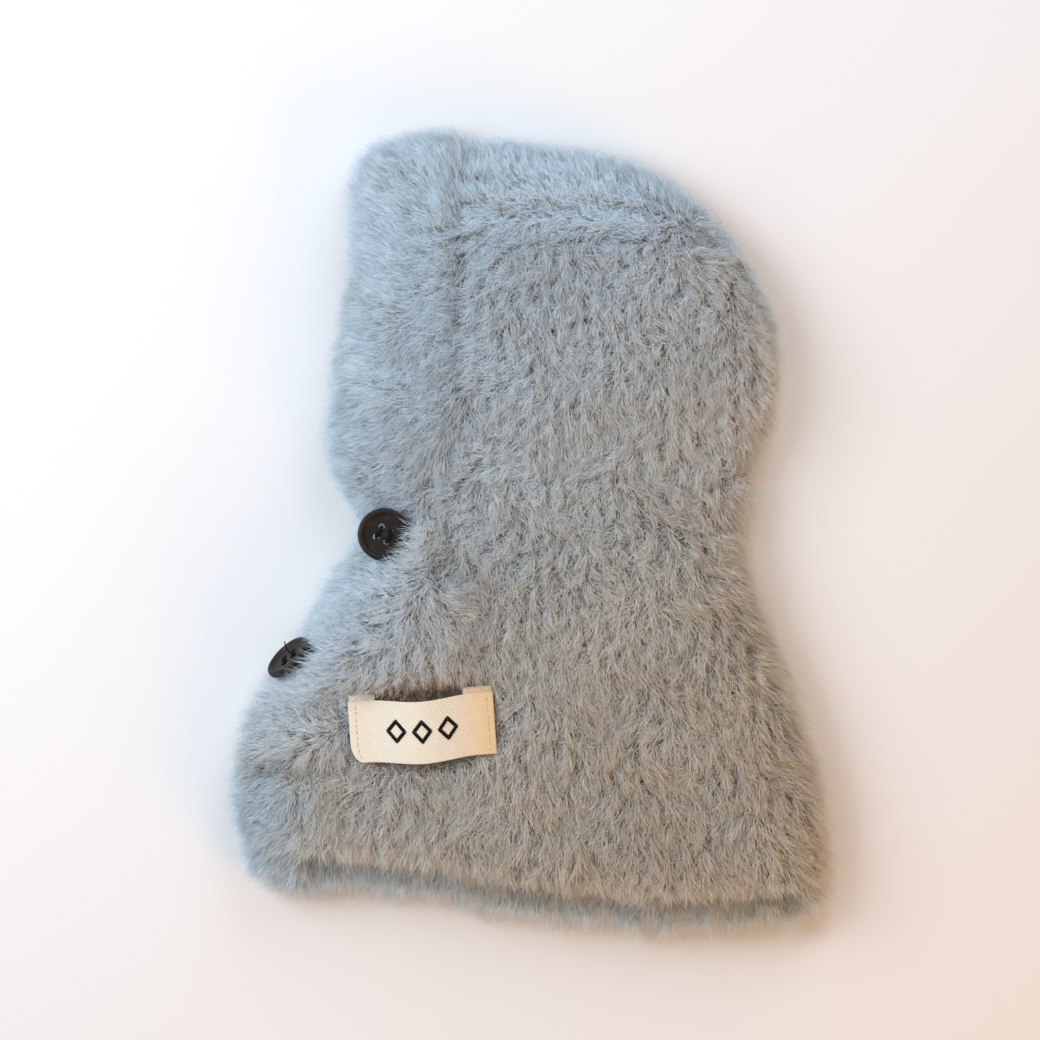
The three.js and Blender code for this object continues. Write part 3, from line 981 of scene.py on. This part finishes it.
    def piece(self, name: str, grown: dict, finish: bpy.types.Material) -> bpy.types.Object:
        """Makes the strands' mesh: three-sided, tapered and closed.

        Args:
            name: the piece's name.
            grown: the strands' paths, widths and colours.
            finish: the yarn, which reads tone, hue and depth from the mesh's UV.

        Returns:
            The piece.
        """
        path, steps, number = grown["path"], grown["steps"], len(grown["tone"])
        rings = len(path) - 1
        per = rings * 3 + 1
        points = np.zeros((number, per, 3))
        uv = np.zeros((number, per, 2))
        for k in range(rings):
            ahead = unit(path[k + 1] - path[max(k - 1, 0)])
            side = grown["across"]
            up = unit(np.cross(ahead, side))
            radius = (grown["thick"] * (1.0 - 0.62 * steps[k]) / 2)[:, None]
            for j in range(3):
                turn = math.radians(90 + 120 * j)
                points[:, k * 3 + j] = path[k] + (side * math.cos(turn) + up * 0.6 * math.sin(turn)) * radius
            uv[:, k * 3 : k * 3 + 3, 1] = steps[k]
        points[:, -1] = path[-1]
        uv[:, -1, 1] = 1.0
        uv[:, :, 0] = grown["tone"][:, None]
        uv[:, :, 1] = (grown["hue"][:, None] + 0.06 + 0.88 * uv[:, :, 1]) / HUES
        quads = ring_quads(rings, 3)
        last = (rings - 1) * 3
        tips = [[last + j, last + (j + 1) % 3, last + 3] for j in range(3)] + [[2, 1, 0]]
        one = np.array([i for face in quads + tips for i in face])
        sizes = np.array([4] * len(quads) + [3] * len(tips))
        loops = (one[None, :] + (np.arange(number) * per)[:, None]).ravel()
        totals = np.tile(sizes, number)
        starts = np.concatenate([[0], np.cumsum(totals)[:-1]])
        mesh = bpy.data.meshes.new(name)
        mesh.vertices.add(number * per)
        mesh.vertices.foreach_set("co", points.astype(np.float32).ravel())
        mesh.loops.add(len(loops))
        mesh.loops.foreach_set("vertex_index", loops.astype(np.int32))
        mesh.polygons.add(len(totals))
        mesh.polygons.foreach_set("loop_start", starts.astype(np.int32))
        shade_smooth(mesh)
        mesh.update(calc_edges=True)
        layer = mesh.uv_layers.new(name=UV_NAME)
        layer.data.foreach_set("uv", uv.reshape(-1, 2)[loops].astype(np.float32).ravel())
        mesh.materials.append(finish)
        made = placed(name, mesh)
        return made


# Mesh helpers.


def ring_quads(rings: int, sides: int) -> list[list[int]]:
    """The faces between rings of points that are numbered ring by ring.

    Args:
        rings: how many rings.
        sides: how many points each ring has.

    Returns:
        Four point numbers for each face.
    """
    faces = []
    for low in range(0, (rings - 1) * sides, sides):
        high = low + sides
        faces += [[low + i, low + (i + 1) % sides, high + (i + 1) % sides, high + i] for i in range(sides)]
    return faces


def new_piece(name: str, points: np.ndarray, faces: list, finish: bpy.types.Material) -> bpy.types.Object:
    """A mesh object, shaded smooth.

    Args:
        name: the piece's name.
        points: its points in the row frame.
        faces: lists of point numbers.
        finish: its material.

    Returns:
        The object, linked to the scene.
    """
    mesh = bpy.data.meshes.new(name)
    mesh.from_pydata([tuple(p) for p in points], [], faces)
    shade_smooth(mesh)
    mesh.materials.append(finish)
    mesh.update()
    return placed(name, mesh)


def applied(piece: bpy.types.Object) -> bpy.types.Object:
    """The piece with its modifiers made part of its mesh."""
    mesh = bpy.data.meshes.new_from_object(piece.evaluated_get(bpy.context.evaluated_depsgraph_get()))
    piece.modifiers.clear()
    piece.data = mesh
    return piece


def lathed(profile: list[tuple[float, float]], sides: int) -> tuple[np.ndarray, list]:
    """A closed solid turned from a profile round Z.

    Args:
        profile: (radius, height) from the lower end of the axis to the upper one, both ends on the axis.
        sides: how many sides it has.

    Returns:
        Its points and faces.
    """
    inner = profile[1:-1]
    angles = np.arange(sides) * 2 * math.pi / sides
    points = [(r * math.cos(a), r * math.sin(a), z) for r, z in inner for a in angles]
    points += [(0, 0, profile[0][1]), (0, 0, profile[-1][1])]
    low, high, last = len(points) - 2, len(points) - 1, (len(inner) - 1) * sides
    faces = ring_quads(len(inner), sides)
    faces += [[(i + 1) % sides, i, low] for i in range(sides)]
    faces += [[last + i, last + (i + 1) % sides, high] for i in range(sides)]
    return np.array(points, float), faces


def spline(points: list, count: int) -> np.ndarray:
    """A smooth line through points.

    Args:
        points: the points it runs through.
        count: how many points to make.

    Returns:
        The line's points.
    """
    given = np.array(points, float)
    padded = np.vstack([2 * given[0] - given[1], given, 2 * given[-1] - given[-2]])
    made = []
    for t in np.linspace(0, len(given) - 1 - 1e-9, count):
        i, u = int(t), t - int(t)
        a, b, c, d = padded[i : i + 4]
        made.append(0.5 * (2 * b + (c - a) * u + (2 * a - 5 * b + 4 * c - d) * u * u
                           + (3 * b - a - 3 * c + d) * u**3))
    return np.array(made)


def twisted_thread(path: np.ndarray, radius: float, pitch: float, sides: int = 10) -> tuple[np.ndarray, list]:
    """A two-ply thread along a path, closed at its ends.

    Args:
        path: the points it follows.
        radius: its radius.
        pitch: the length of one turn of its plies.
        sides: how many sides it has.

    Returns:
        Its points and faces.
    """
    ahead = unit(np.gradient(path, axis=0))
    run = np.concatenate([[0], np.cumsum(np.linalg.norm(np.diff(path, axis=0), axis=1))])
    up = np.array([0.0, 0.0, 1.0]) if abs(ahead[0][2]) < 0.9 else np.array([1.0, 0.0, 0.0])
    points = []
    for p, t, s in zip(path, ahead, run):
        side = unit(np.cross(t, up))
        up = np.cross(side, t)
        ends = min(1.0, 0.35 + 0.65 * min(s, run[-1] - s) / radius)
        for i in range(sides):
            a = 2 * math.pi * i / sides
            r = radius * ends * (1 + 0.2 * math.cos(2 * (a - 2 * math.pi * s / pitch)))
            points.append(p + (side * math.cos(a) + up * math.sin(a)) * r)
    faces = ring_quads(len(path), sides)
    faces += [list(range(sides))[::-1], [(len(path) - 1) * sides + i for i in range(sides)]]
    return np.array(points), faces


def joined(parts: list[tuple[np.ndarray, list]]) -> tuple[np.ndarray, list]:
    """Several solids as one.

    Args:
        parts: each one's points and faces.

    Returns:
        Their points and faces together.
    """
    points, faces, start = [], [], 0
    for more, sides in parts:
        points.append(more)
        faces += [[i + start for i in face] for face in sides]
        start += len(more)
    return np.concatenate(points), faces


def moved(points: np.ndarray, place: Matrix) -> np.ndarray:
    """Takes points from a frame of their own into the row frame.

    Args:
        points: the points in that frame.
        place: where the frame stands.

    Returns:
        The points in the row frame.
    """
    turn = np.array(place, float)
    return points @ turn[:3, :3].T + turn[:3, 3]


# Buttons.


@dataclass
class SewnButton:
    """A four-hole coat button with a raised rim, on a wound thread shank."""

    node: str
    hole_turn: float  # degrees that the square of holes is turned
    shank: float
    bared: tuple[float, float]  # how far in plan the pile's clearing over its face is shifted
    has_tail: bool = False
    radius: float = 10 * MM
    thickness: float = 4.2 * MM
    hole_spacing: float = 4.3 * MM
    floor: float = 2.9 * MM
    thread: float = 0.27 * MM
    pitch: float = 1.1 * MM  # of the thread's plies
    place: Matrix = field(init=False)

    def __post_init__(self) -> None:
        """Finds the button's own frame in its solid: its axis is the solid's thinnest way."""
        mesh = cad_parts[self.node].data
        points = np.array([v.co for v in mesh.vertices], float)
        middle = points.mean(axis=0)
        axis = np.linalg.svd(points - middle, full_matrices=False)[2][2]
        axis = axis if axis[2] > 0 else -axis
        heights = (points - middle) @ axis
        seat = middle + axis * heights.min()
        along = unit(np.array([1.0, 0, 0]) - axis * axis[0])
        turn = Matrix([along, np.cross(axis, along), axis]).transposed().to_4x4()
        self.place = Matrix.Translation(seat) @ turn @ Matrix.Rotation(math.radians(self.hole_turn), 4, "Z")

    def holes(self) -> list[tuple[float, float]]:
        """The middles of the four holes."""
        h = self.hole_spacing / 2
        return [(h, h), (h, -h), (-h, -h), (-h, h)]

    def make_disc(self, finish: bpy.types.Material) -> bpy.types.Object:
        """The turned disc with its four flared holes.

        Args:
            finish: the resin.

        Returns:
            The disc.
        """
        profile = [(0, 0), (4, 0), (7.4, 0.0), (8.6, 0.35), (9.5, 1.2), (9.95, 2.3), (9.85, 3.3),
                   (9.45, 3.95), (8.9, 4.2), (8.3, 4.1), (7.8, 3.7), (7.35, 3.2), (6.9, 2.95), (6.3, 2.9),
                   (3, 2.88), (0, 2.88)]
        points, faces = lathed([(r * MM, z * MM) for r, z in profile], 72)
        disc = new_piece(self.node + "_disc", points, faces, finish)
        smooth = disc.modifiers.new("smooth", "SUBSURF")
        smooth.levels = smooth.render_levels = 1
        spool = [(0, -1.0), (2.2, -1.0), (1.7, -0.1), (1.3, 0.5), (1.2, 1.3), (1.22, 2.3), (1.32, 2.7),
                 (1.5, 2.95), (1.8, 3.8), (0, 3.8)]
        turned, sides = lathed([(r * MM, z * MM) for r, z in spool], 28)
        spools = joined([(turned + np.array([x, y, 0]), sides) for x, y in self.holes()])
        cutter = new_piece("cutter", *spools, finish)
        drill = disc.modifiers.new("holes", "BOOLEAN")
        drill.operation, drill.object, drill.solver = "DIFFERENCE", cutter, "EXACT"
        applied(disc)
        bpy.data.objects.remove(cutter)
        disc.data.transform(self.place)
        shade_smooth(disc.data)
        disc.data.set_sharp_from_angle(angle=math.radians(32))  # the drilled edges stay crisp
        fitted(disc, self.node, self.node)
        return disc

    def make_thread(self, finish: bpy.types.Material) -> bpy.types.Object:
        """The sewing: three strands over each pair of holes, a wound shank and, on one, a loose end.

        Args:
            finish: the thread.

        Returns:
            The sewing, as one piece.
        """
        h, r, top = self.hole_spacing / 2, self.thread, self.floor
        parts = []
        for side in (-1, 1):
            for k in (-1, 0, 1):
                x = side * h + k * 1.7 * r
                crown = top + (2.0 if k == 0 else 1.3) * r
                line = [(side * h, -h, 0.2 * MM), (side * h + k * r, -h, 0.7 * top),
                        (x, -0.82 * h, crown - 0.4 * r), (x, 0, crown + 0.5 * r),
                        (x, 0.82 * h, crown - 0.4 * r), (side * h + k * r, h, 0.7 * top),
                        (side * h, h, 0.2 * MM)]
                parts.append(twisted_thread(spline(line, 44), r, self.pitch))
        turns = self.shank / (1.9 * r)
        angle = np.linspace(0, 2 * math.pi * turns, int(turns * 14))
        wide = 1.15 * MM + 0.7 * MM * np.exp(-np.linspace(0, 6, len(angle)))
        down = -0.3 * MM - np.linspace(0, self.shank, len(angle))
        coil = np.stack([wide * np.cos(angle), wide * np.sin(angle), down], axis=1)
        parts.append(twisted_thread(coil, r * 1.15, self.pitch, 8))
        if self.has_tail:
            loose = [(h, -h, 1.2 * MM), (h + 0.1 * MM, -h, top + 0.5 * MM),
                     (h - 0.2 * MM, -h + 0.5 * MM, top + 2.6 * MM),
                     (h + 0.4 * MM, -h + 0.4 * MM, top + 4.8 * MM),
                     (h + 1.2 * MM, -h + 1.0 * MM, top + 6.4 * MM)]
            parts.append(twisted_thread(spline(loose, 40), r * 0.85, self.pitch))
        points, faces = joined(parts)
        sewing = new_piece(self.node + "_sewing", moved(points, self.place), faces, finish)
        fitted(sewing, self.node, self.node + "_thread")
        return sewing

    def clearings(self) -> list[Clearing]:
        """The room that the pile keeps out of: the disc itself, and most of the view of its face."""
        over = Matrix.Translation((*self.bared, 0)) @ self.place
        return [
            Clearing(self.place, (self.radius + 0.3 * MM,) * 2, -0.4 * MM, self.thickness, True),
            Clearing(over, (self.radius - 2.6 * MM,) * 2, self.thickness, 26 * MM, True),
        ]


# The label.


@dataclass
class ClothLabel:
    """A strip of cotton twill tape, its ends folded under and sewn down, its middle standing off the pile."""

    length: float = 54 * MM
    width: float = 23 * MM
    bow: float = 5 * MM  # how far its middle stands off
    tab: float = 6 * MM
    sag: float = 1.6 * MM  # how far its middle hangs towards the hem
    cloth: float = 0.5 * MM
    place: Matrix = field(init=False)

    def __post_init__(self) -> None:
        """Finds where the label's solid lies."""
        low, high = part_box("woven_label")
        middle = (low + high) / 2
        turn = Matrix.Rotation(math.radians(4), 4, "Z")
        self.place = Matrix.Translation((middle.x, middle.y, low.z)) @ turn

    def surface(self, u: np.ndarray, v: np.ndarray) -> np.ndarray:
        """Places on the label's upper face.

        Args:
            u: along it, from its middle.
            v: across it, from its middle.

        Returns:
            One place for each, in the row frame.
        """
        run = self.length / 2 - self.tab
        free = np.clip(np.abs(u) / run, 0, 1)
        arch = 0.5 * (1 + np.cos(math.pi * free))
        down = self.sag * arch
        ripple = 0.25 * MM * np.sin(u / (6 * MM) + v / (9 * MM)) * arch
        edge = np.clip(np.abs(v) / (self.width / 2), 0, 1)
        curl = 0.9 * MM * edge**3 * (0.3 + 0.7 * arch) * np.sign(v)
        z = self.cloth + 0.3 * MM + self.bow * arch * 0.92 + ripple + curl * 0.5
        low_left = np.clip((-v / (self.width / 2) - 0.35) / 0.65, 0, 1)
        near = np.clip((-u - self.length / 2 + 9 * MM) / (9 * MM), 0, 1)
        corner = (1 - np.sqrt(1 - 0.98 * low_left**2)) * near
        u = u + corner * 5.0 * MM
        return moved(np.stack([u, v - down + 0.5 * self.sag, z - 0.2 * MM * corner], axis=-1), self.place)

    def strip(self, name: str, us: np.ndarray, vs: np.ndarray, lift: float, thickness: float,
              finish: bpy.types.Material) -> bpy.types.Object:
        """A solid strip that follows the label's face.

        Args:
            name: the piece's name.
            us, vs: where its points are, along and across the label.
            lift: how far it is raised off that face.
            thickness: the cloth's thickness.
            finish: the twill.

        Returns:
            The strip.
        """
        u, v = np.meshgrid(us, vs, indexing="ij")
        points = self.surface(u.ravel(), v.ravel()) + np.array([0, 0, lift])
        n, m = len(us), len(vs)
        faces = [[i * m + j, (i + 1) * m + j, (i + 1) * m + j + 1, i * m + j + 1]
                 for i in range(n - 1) for j in range(m - 1)]
        made = new_piece(name, points, faces, finish)
        layer = made.data.uv_layers.new(name="tape")
        uv = np.stack([u.ravel(), v.ravel()], axis=1)[read(made.data.loops, "vertex_index", 1, np.int32)]
        layer.data.foreach_set("uv", uv.astype(np.float32).ravel())
        solid = made.modifiers.new("cloth", "SOLIDIFY")
        solid.thickness, solid.offset = thickness, -1.0
        return applied(made)

    def make_tape(self, finish: bpy.types.Material) -> list[bpy.types.Object]:
        """The tape and its two folded ends.

        Args:
            finish: the twill.

        Returns:
            The tape, then its ends.
        """
        half, side = self.length / 2, self.width / 2
        vs = np.linspace(-side, side, 41)
        vs = np.concatenate([vs[:1], vs[:1] + 0.25 * MM, vs[1:-1], vs[-1:] - 0.25 * MM, vs[-1:]])
        tape = self.strip("label_tape", np.linspace(-half, half, 109), vs, 0.0, self.cloth, finish)
        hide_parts("woven_label")
        pieces = [tape]
        ends = {"front": (-half + 0.4 * MM, -half + 10 * MM), "back": (half - 11 * MM, half - 0.4 * MM)}
        across = np.linspace(-side + 1.5 * MM, side + 2.4 * MM, 33)
        for name, (start, end) in ends.items():
            along, thin = np.linspace(start, end, 25), self.cloth * 0.9
            pieces.append(self.strip(f"label_fold_{name}", along, across, -0.62 * MM, thin, finish))
        for piece in pieces:
            fitted(piece, "cape")
        return pieces

    def make_stitches(self, finish: bpy.types.Material) -> None:
        """A row of stitches across each end.

        Args:
            finish: the thread.
        """
        for name, side in (("front", -1), ("back", 1)):
            parts = []
            for v in np.arange(-self.width / 2 + 1.4 * MM, self.width / 2 - 1.2 * MM, 2.3 * MM):
                along = np.linspace(v, v + 1.8 * MM, 14)
                lift = np.sin(np.linspace(0, math.pi, 14)) * 0.22 * MM
                path = self.surface(np.full(14, side * (self.length / 2 - 2.6 * MM)), along)
                path[:, 2] += lift - 0.05 * MM
                parts.append(twisted_thread(path, 0.2 * MM, 0.9 * MM, 8))
            points, faces = joined(parts)
            row = new_piece(f"label_stitches_{name}", points, faces, finish)
            fitted(row, "cape", f"label_stitch_{name}")

    def make_motif(self, finish: bpy.types.Material) -> None:
        """Three plain woven diamonds in a row, in dark thread laid side by side.

        Args:
            finish: the thread.
        """
        parts = []
        tall, wide, stroke = 4.4 * MM, 3.7 * MM, 1.3 * MM
        corners = [(0, 1), (1, 0), (0, -1), (-1, 0)]
        for middle in (-9.6 * MM, 0.0, 9.6 * MM):
            for a, b in zip(corners, corners[1:] + corners[:1]):
                for k in range(4):
                    grow = 1 - k * stroke / 4 / (0.5 * (tall + wide)) * 1.35
                    t = np.linspace(0.0, 1.0, 16)
                    u = middle + (a[0] + (b[0] - a[0]) * t) * wide * grow
                    v = (a[1] + (b[1] - a[1]) * t) * tall * grow + 0.4 * MM
                    path = self.surface(u, v)
                    path[:, 2] += 0.10 * MM
                    parts.append(twisted_thread(path, 0.21 * MM, 1.0 * MM, 8))
        points, faces = joined(parts)
        motif = new_piece("label_motif", points, faces, finish)
        fitted(motif, "cape")

    def clearing(self) -> Clearing:
        """The room over the label that the pile keeps out of."""
        reach = (self.length / 2 - 0.4 * MM, self.width / 2 - 0.2 * MM)
        return Clearing(self.place, reach, -0.6 * MM, 20 * MM, False)


# The studio.


@dataclass
class Studio:
    """A pale table, cool window light from the front left and a weaker warm lamp on the right."""

    floor_size: float = 6.0
    camera_height: float = 0.998
    middle: tuple[float, float] = (-0.0038, 0.0034)
    view_width: float = 0.392  # at the subject's height
    subject_height: float = 0.018
    sensor: float = 36.0

    def place_camera(self) -> None:
        """Stands the camera straight above the garment."""
        data = bpy.data.cameras.new("camera")
        data.sensor_width = self.sensor
        data.lens = self.sensor * (self.camera_height - self.subject_height) / self.view_width
        data.clip_start, data.clip_end = 0.01, 20
        camera = placed("camera", data)
        camera.location = (*self.middle, self.camera_height)
        bpy.context.scene.camera = camera

    @staticmethod
    def add_light(name: str, place: tuple[float, float, float], size: float, power: float,
                  colour: str) -> None:
        """Adds one square soft light that looks at the garment.

        Args:
            name: the light's name.
            place: where it hangs.
            size: the length of its side.
            power: in watts.
            colour: an sRGB hex value.
        """
        data = bpy.data.lights.new(name, "AREA")
        data.shape, data.size, data.energy = "SQUARE", size, power
        data.color = linear(colour)[:3]
        lamp = placed(name, data)
        lamp.location = place
        lamp.rotation_euler = (Vector((0, 0, 0)) - Vector(place)).to_track_quat("-Z", "Y").to_euler()

    def light(self) -> None:
        """The lights and the room's own glow."""
        self.add_light("window_light", (-0.62, 0.22, 0.64), 0.6, 6.9, "#e6f1ff")
        self.add_light("far_window_light", (0.25, 0.65, 0.6), 0.5, 3.2, "#e0edff")
        self.add_light("front_window_light", (-0.40, -0.75, 0.6), 0.5, 0.9, "#e0edff")
        self.add_light("lamp_light", (0.68, -0.58, 0.52), 0.45, 3.5, "#ffb04c")
        world = bpy.data.worlds.new("room")
        world.use_nodes = True
        room = world.node_tree
        set_inputs(room, room.nodes["Background"], {"Color": linear("#fff2e0"), "Strength": 0.34})
        bpy.context.scene.world = world
        bpy.context.scene.view_settings.view_transform = "Standard"

    def lay_floor(self) -> None:
        """A matt pale table top."""
        half = self.floor_size / 2
        mesh = bpy.data.meshes.new("table_top")
        corners = [(x * half, y * half, 0) for x, y in ((-1, -1), (1, -1), (1, 1), (-1, 1))]
        mesh.from_pydata(corners, [], [(0, 1, 2, 3)])
        material, tree, shader = new_material("matt_painted_board")
        set_inputs(tree, shader, {"Base Color": linear("#ecebea"), "Roughness": 0.8})
        mesh.materials.append(material)
        placed("table_top", mesh)


# The panels, with the way each one's pile is combed.

BRIM_COMB = (
    Stroke(-0.062, 0.138, 150), Stroke(-0.035, 0.145, 112), Stroke(-0.066, 0.115, 160),
    Stroke(-0.040, 0.115, 150),
    Stroke(-0.070, 0.085, 182), Stroke(-0.040, 0.085, 190), Stroke(-0.070, 0.055, 195),
    Stroke(-0.038, 0.055, 205),
    Stroke(-0.072, 0.030, 200), Stroke(-0.045, 0.030, 220),
)
GUSSET_COMB = (
    *(Stroke(x * MM, 141 * MM, 105 - 0.4 * x, 8 * MM, 1.5) for x in range(-20, 56, 10)),
    *(Stroke(x * MM, 126 * MM, 150 - 0.3 * x, 8 * MM) for x in range(-20, 56, 10)),
    *(Stroke(x * MM, 111 * MM, 208, 7 * MM, 1.5) for x in range(-20, 56, 10)),
    Stroke(0.066, 0.130, 50), Stroke(0.066, 0.106, 255, 7 * MM), Stroke(0.084, 0.112, 10),
    Stroke(0.092, 0.085, -28), Stroke(0.092, 0.050, -45), Stroke(0.085, 0.028, -65),
)
HOOD_COMB = (
    Stroke(-0.015, 0.100, 245), Stroke(-0.015, 0.070, 240), Stroke(-0.015, 0.045, 235),
    Stroke(-0.020, 0.025, 230),
    Stroke(0.020, 0.100, 268), Stroke(0.020, 0.065, 262), Stroke(0.020, 0.030, 255),
    Stroke(0.055, 0.100, 275), Stroke(0.055, 0.060, 272), Stroke(0.055, 0.028, 262),
    Stroke(0.082, 0.085, 285), Stroke(0.082, 0.050, 280), Stroke(0.078, 0.022, 255),
)
CAPE_COMB = (
    Stroke(-0.035, 0.005, 250), Stroke(0.010, 0.005, 265), Stroke(0.055, 0.005, 285), Stroke(0.078, 0.0, 300),
    Stroke(-0.040, -0.006, 185, 5 * MM, 4.0), Stroke(-0.058, -0.017, 150, 6 * MM, 2.5),
    Stroke(-0.072, -0.024, 180, 8 * MM, 2.0), Stroke(-0.072, -0.040, 205, 8 * MM, 2.0),
    Stroke(-0.060, -0.052, 232, 8 * MM, 2.0), Stroke(-0.045, -0.055, 262, 8 * MM, 2.0),
    Stroke(-0.028, -0.050, 285, 8 * MM, 2.0), Stroke(-0.026, -0.030, 288, 8 * MM, 1.5),
    Stroke(-0.0800, -0.0610, 124, 7 * MM, 6.0),
    Stroke(-0.050, -0.028, 205, 6 * MM), Stroke(-0.010, -0.030, 262), Stroke(0.035, -0.030, 275),
    Stroke(0.080, -0.030, 295),
    Stroke(-0.010, -0.070, 265), Stroke(0.040, -0.070, 276), Stroke(0.092, -0.070, 288),
    Stroke(-0.070, -0.095, 255), Stroke(-0.030, -0.110, 268), Stroke(0.020, -0.115, 272),
    Stroke(0.070, -0.110, 280), Stroke(0.105, -0.120, 292), Stroke(-0.060, -0.125, 266),
    Stroke(0.100, -0.145, 288), Stroke(0.0, -0.140, 270),
)
PLACKET_COMB = (
    Stroke(-0.060, 0.010, 190), Stroke(-0.055, -0.012, 195), Stroke(-0.075, -0.025, 185),
    Stroke(-0.080, -0.045, 200), Stroke(-0.0815, -0.0600, 124, 7 * MM, 6.0), Stroke(-0.095, -0.064, 190),
    Stroke(-0.100, -0.080, 195), Stroke(-0.105, -0.100, 215), Stroke(-0.095, -0.120, 245),
    Stroke(-0.095, -0.132, 258),
)


def build_panels() -> list[KnitPanel]:
    """The eight panels of brushed knit, in the order they are dressed."""
    return [
        KnitPanel("brim_band", BRIM_COMB, (0.052, 0.290), 24000, length=12.5 * MM, edge_room=3.5 * MM,
                  cool=0.4, tangle=1.15),
        KnitPanel("crown_gusset", GUSSET_COMB, (0.060, 0.220), 24000, length=8.0 * MM, edge_room=4.5 * MM,
                  cool=1.4, paler=0.32, tangle=1.25, rows=ROW_PITCH),
        KnitPanel("hood_left_panel", HOOD_COMB, (0.133, 0.090), 22000, length=10.0 * MM, paler=0.12,
                  tangle=1.35, columns=WALE),
        KnitPanel("hood_right_panel", HOOD_COMB, (0.133, 0.090), 12000, under=0.8),
        KnitPanel("cape_left_panel", CAPE_COMB, (0.201, 0.159), 46000, length=11.0 * MM, paler=0.06,
                  tangle=1.25, columns=WALE),
        # The far layer below the hem: its cool and paler shifts are painted cool window light on its fringe.
        KnitPanel("cape_right_panel", CAPE_COMB, (0.201, 0.168), 34000, length=15.0 * MM, cool=3.0,
                  paler=0.45, under=0.6),
        KnitPanel("buttonhole_placket", PLACKET_COMB, (0.050, 0.150), 12000, length=10.5 * MM, cool=0.6,
                  paler=0.05, tangle=1.1),
        # The far layer's under-lapping placket: cool and paler are painted cool window light on its fringe.
        KnitPanel("button_placket", PLACKET_COMB, (0.040, 0.150), 7000, length=13.0 * MM, cool=3.0,
                  paler=0.45),
    ]


def dress_seams(finish: bpy.types.Material) -> None:
    """Gives the seams and the buttonhole stitches, which keep their CAD shape, their thread."""
    for name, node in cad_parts.items():
        if "seam" in name or "buttonhole_stitch" in name:
            node.data.materials.clear()
            node.data.materials.append(finish)


def main() -> None:
    """Builds the garment and its studio, in order."""
    logging.basicConfig(level=logging.INFO, format="%(message)s")
    studio = Studio()
    studio.place_camera()
    studio.light()
    studio.lay_floor()
    panels = build_panels()
    skin = Skin(tuple(p.node for p in panels))
    log.info("skin: %d outer faces", len(skin.normals))
    ground_finish, pile_finish = KnittedGround().make(), BrushedPileYarn().make()
    relief, pile = Relief(), Pile()
    resin = CastResin().make()
    button_thread = SpunThread("black_spun_thread", "#211d1c", "#100e0d").make()
    seam_thread = SpunThread("grey_overlock_thread", "#a3a8aa", "#6c6f71", 1.2 * MM).make()
    label_thread = SpunThread("cream_spun_thread", "#efe6d3", "#cdbfa5").make()
    for button in (SewnButton("top_button", -30, 9.0 * MM, (-3.4 * MM, 1.2 * MM)),
                   SewnButton("lower_button", 10, 5.2 * MM, (-4 * MM, 4 * MM), has_tail=True)):
        button.make_disc(resin)
        button.make_thread(button_thread)
        pile.clearings += button.clearings()
        log.info("%s: sewn on", button.node)
    label = ClothLabel()
    label.make_tape(CottonTwill().make())
    label.make_stitches(label_thread)
    label.make_motif(button_thread)
    pile.clearings.append(label.clearing())
    log.info("label: %.0f by %.0f mm", label.length / MM, label.width / MM)
    dress_seams(seam_thread)
    for panel in panels:
        ground = panel.make_ground(skin, relief, ground_finish)
        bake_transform(ground)
        hair = pile.cover(panel, pile_finish)
        log.info("%s: %d pieces of hair, cut %.4f m2", panel.node, len(hair), panel.area)


if __name__ == "__main__":
    main()
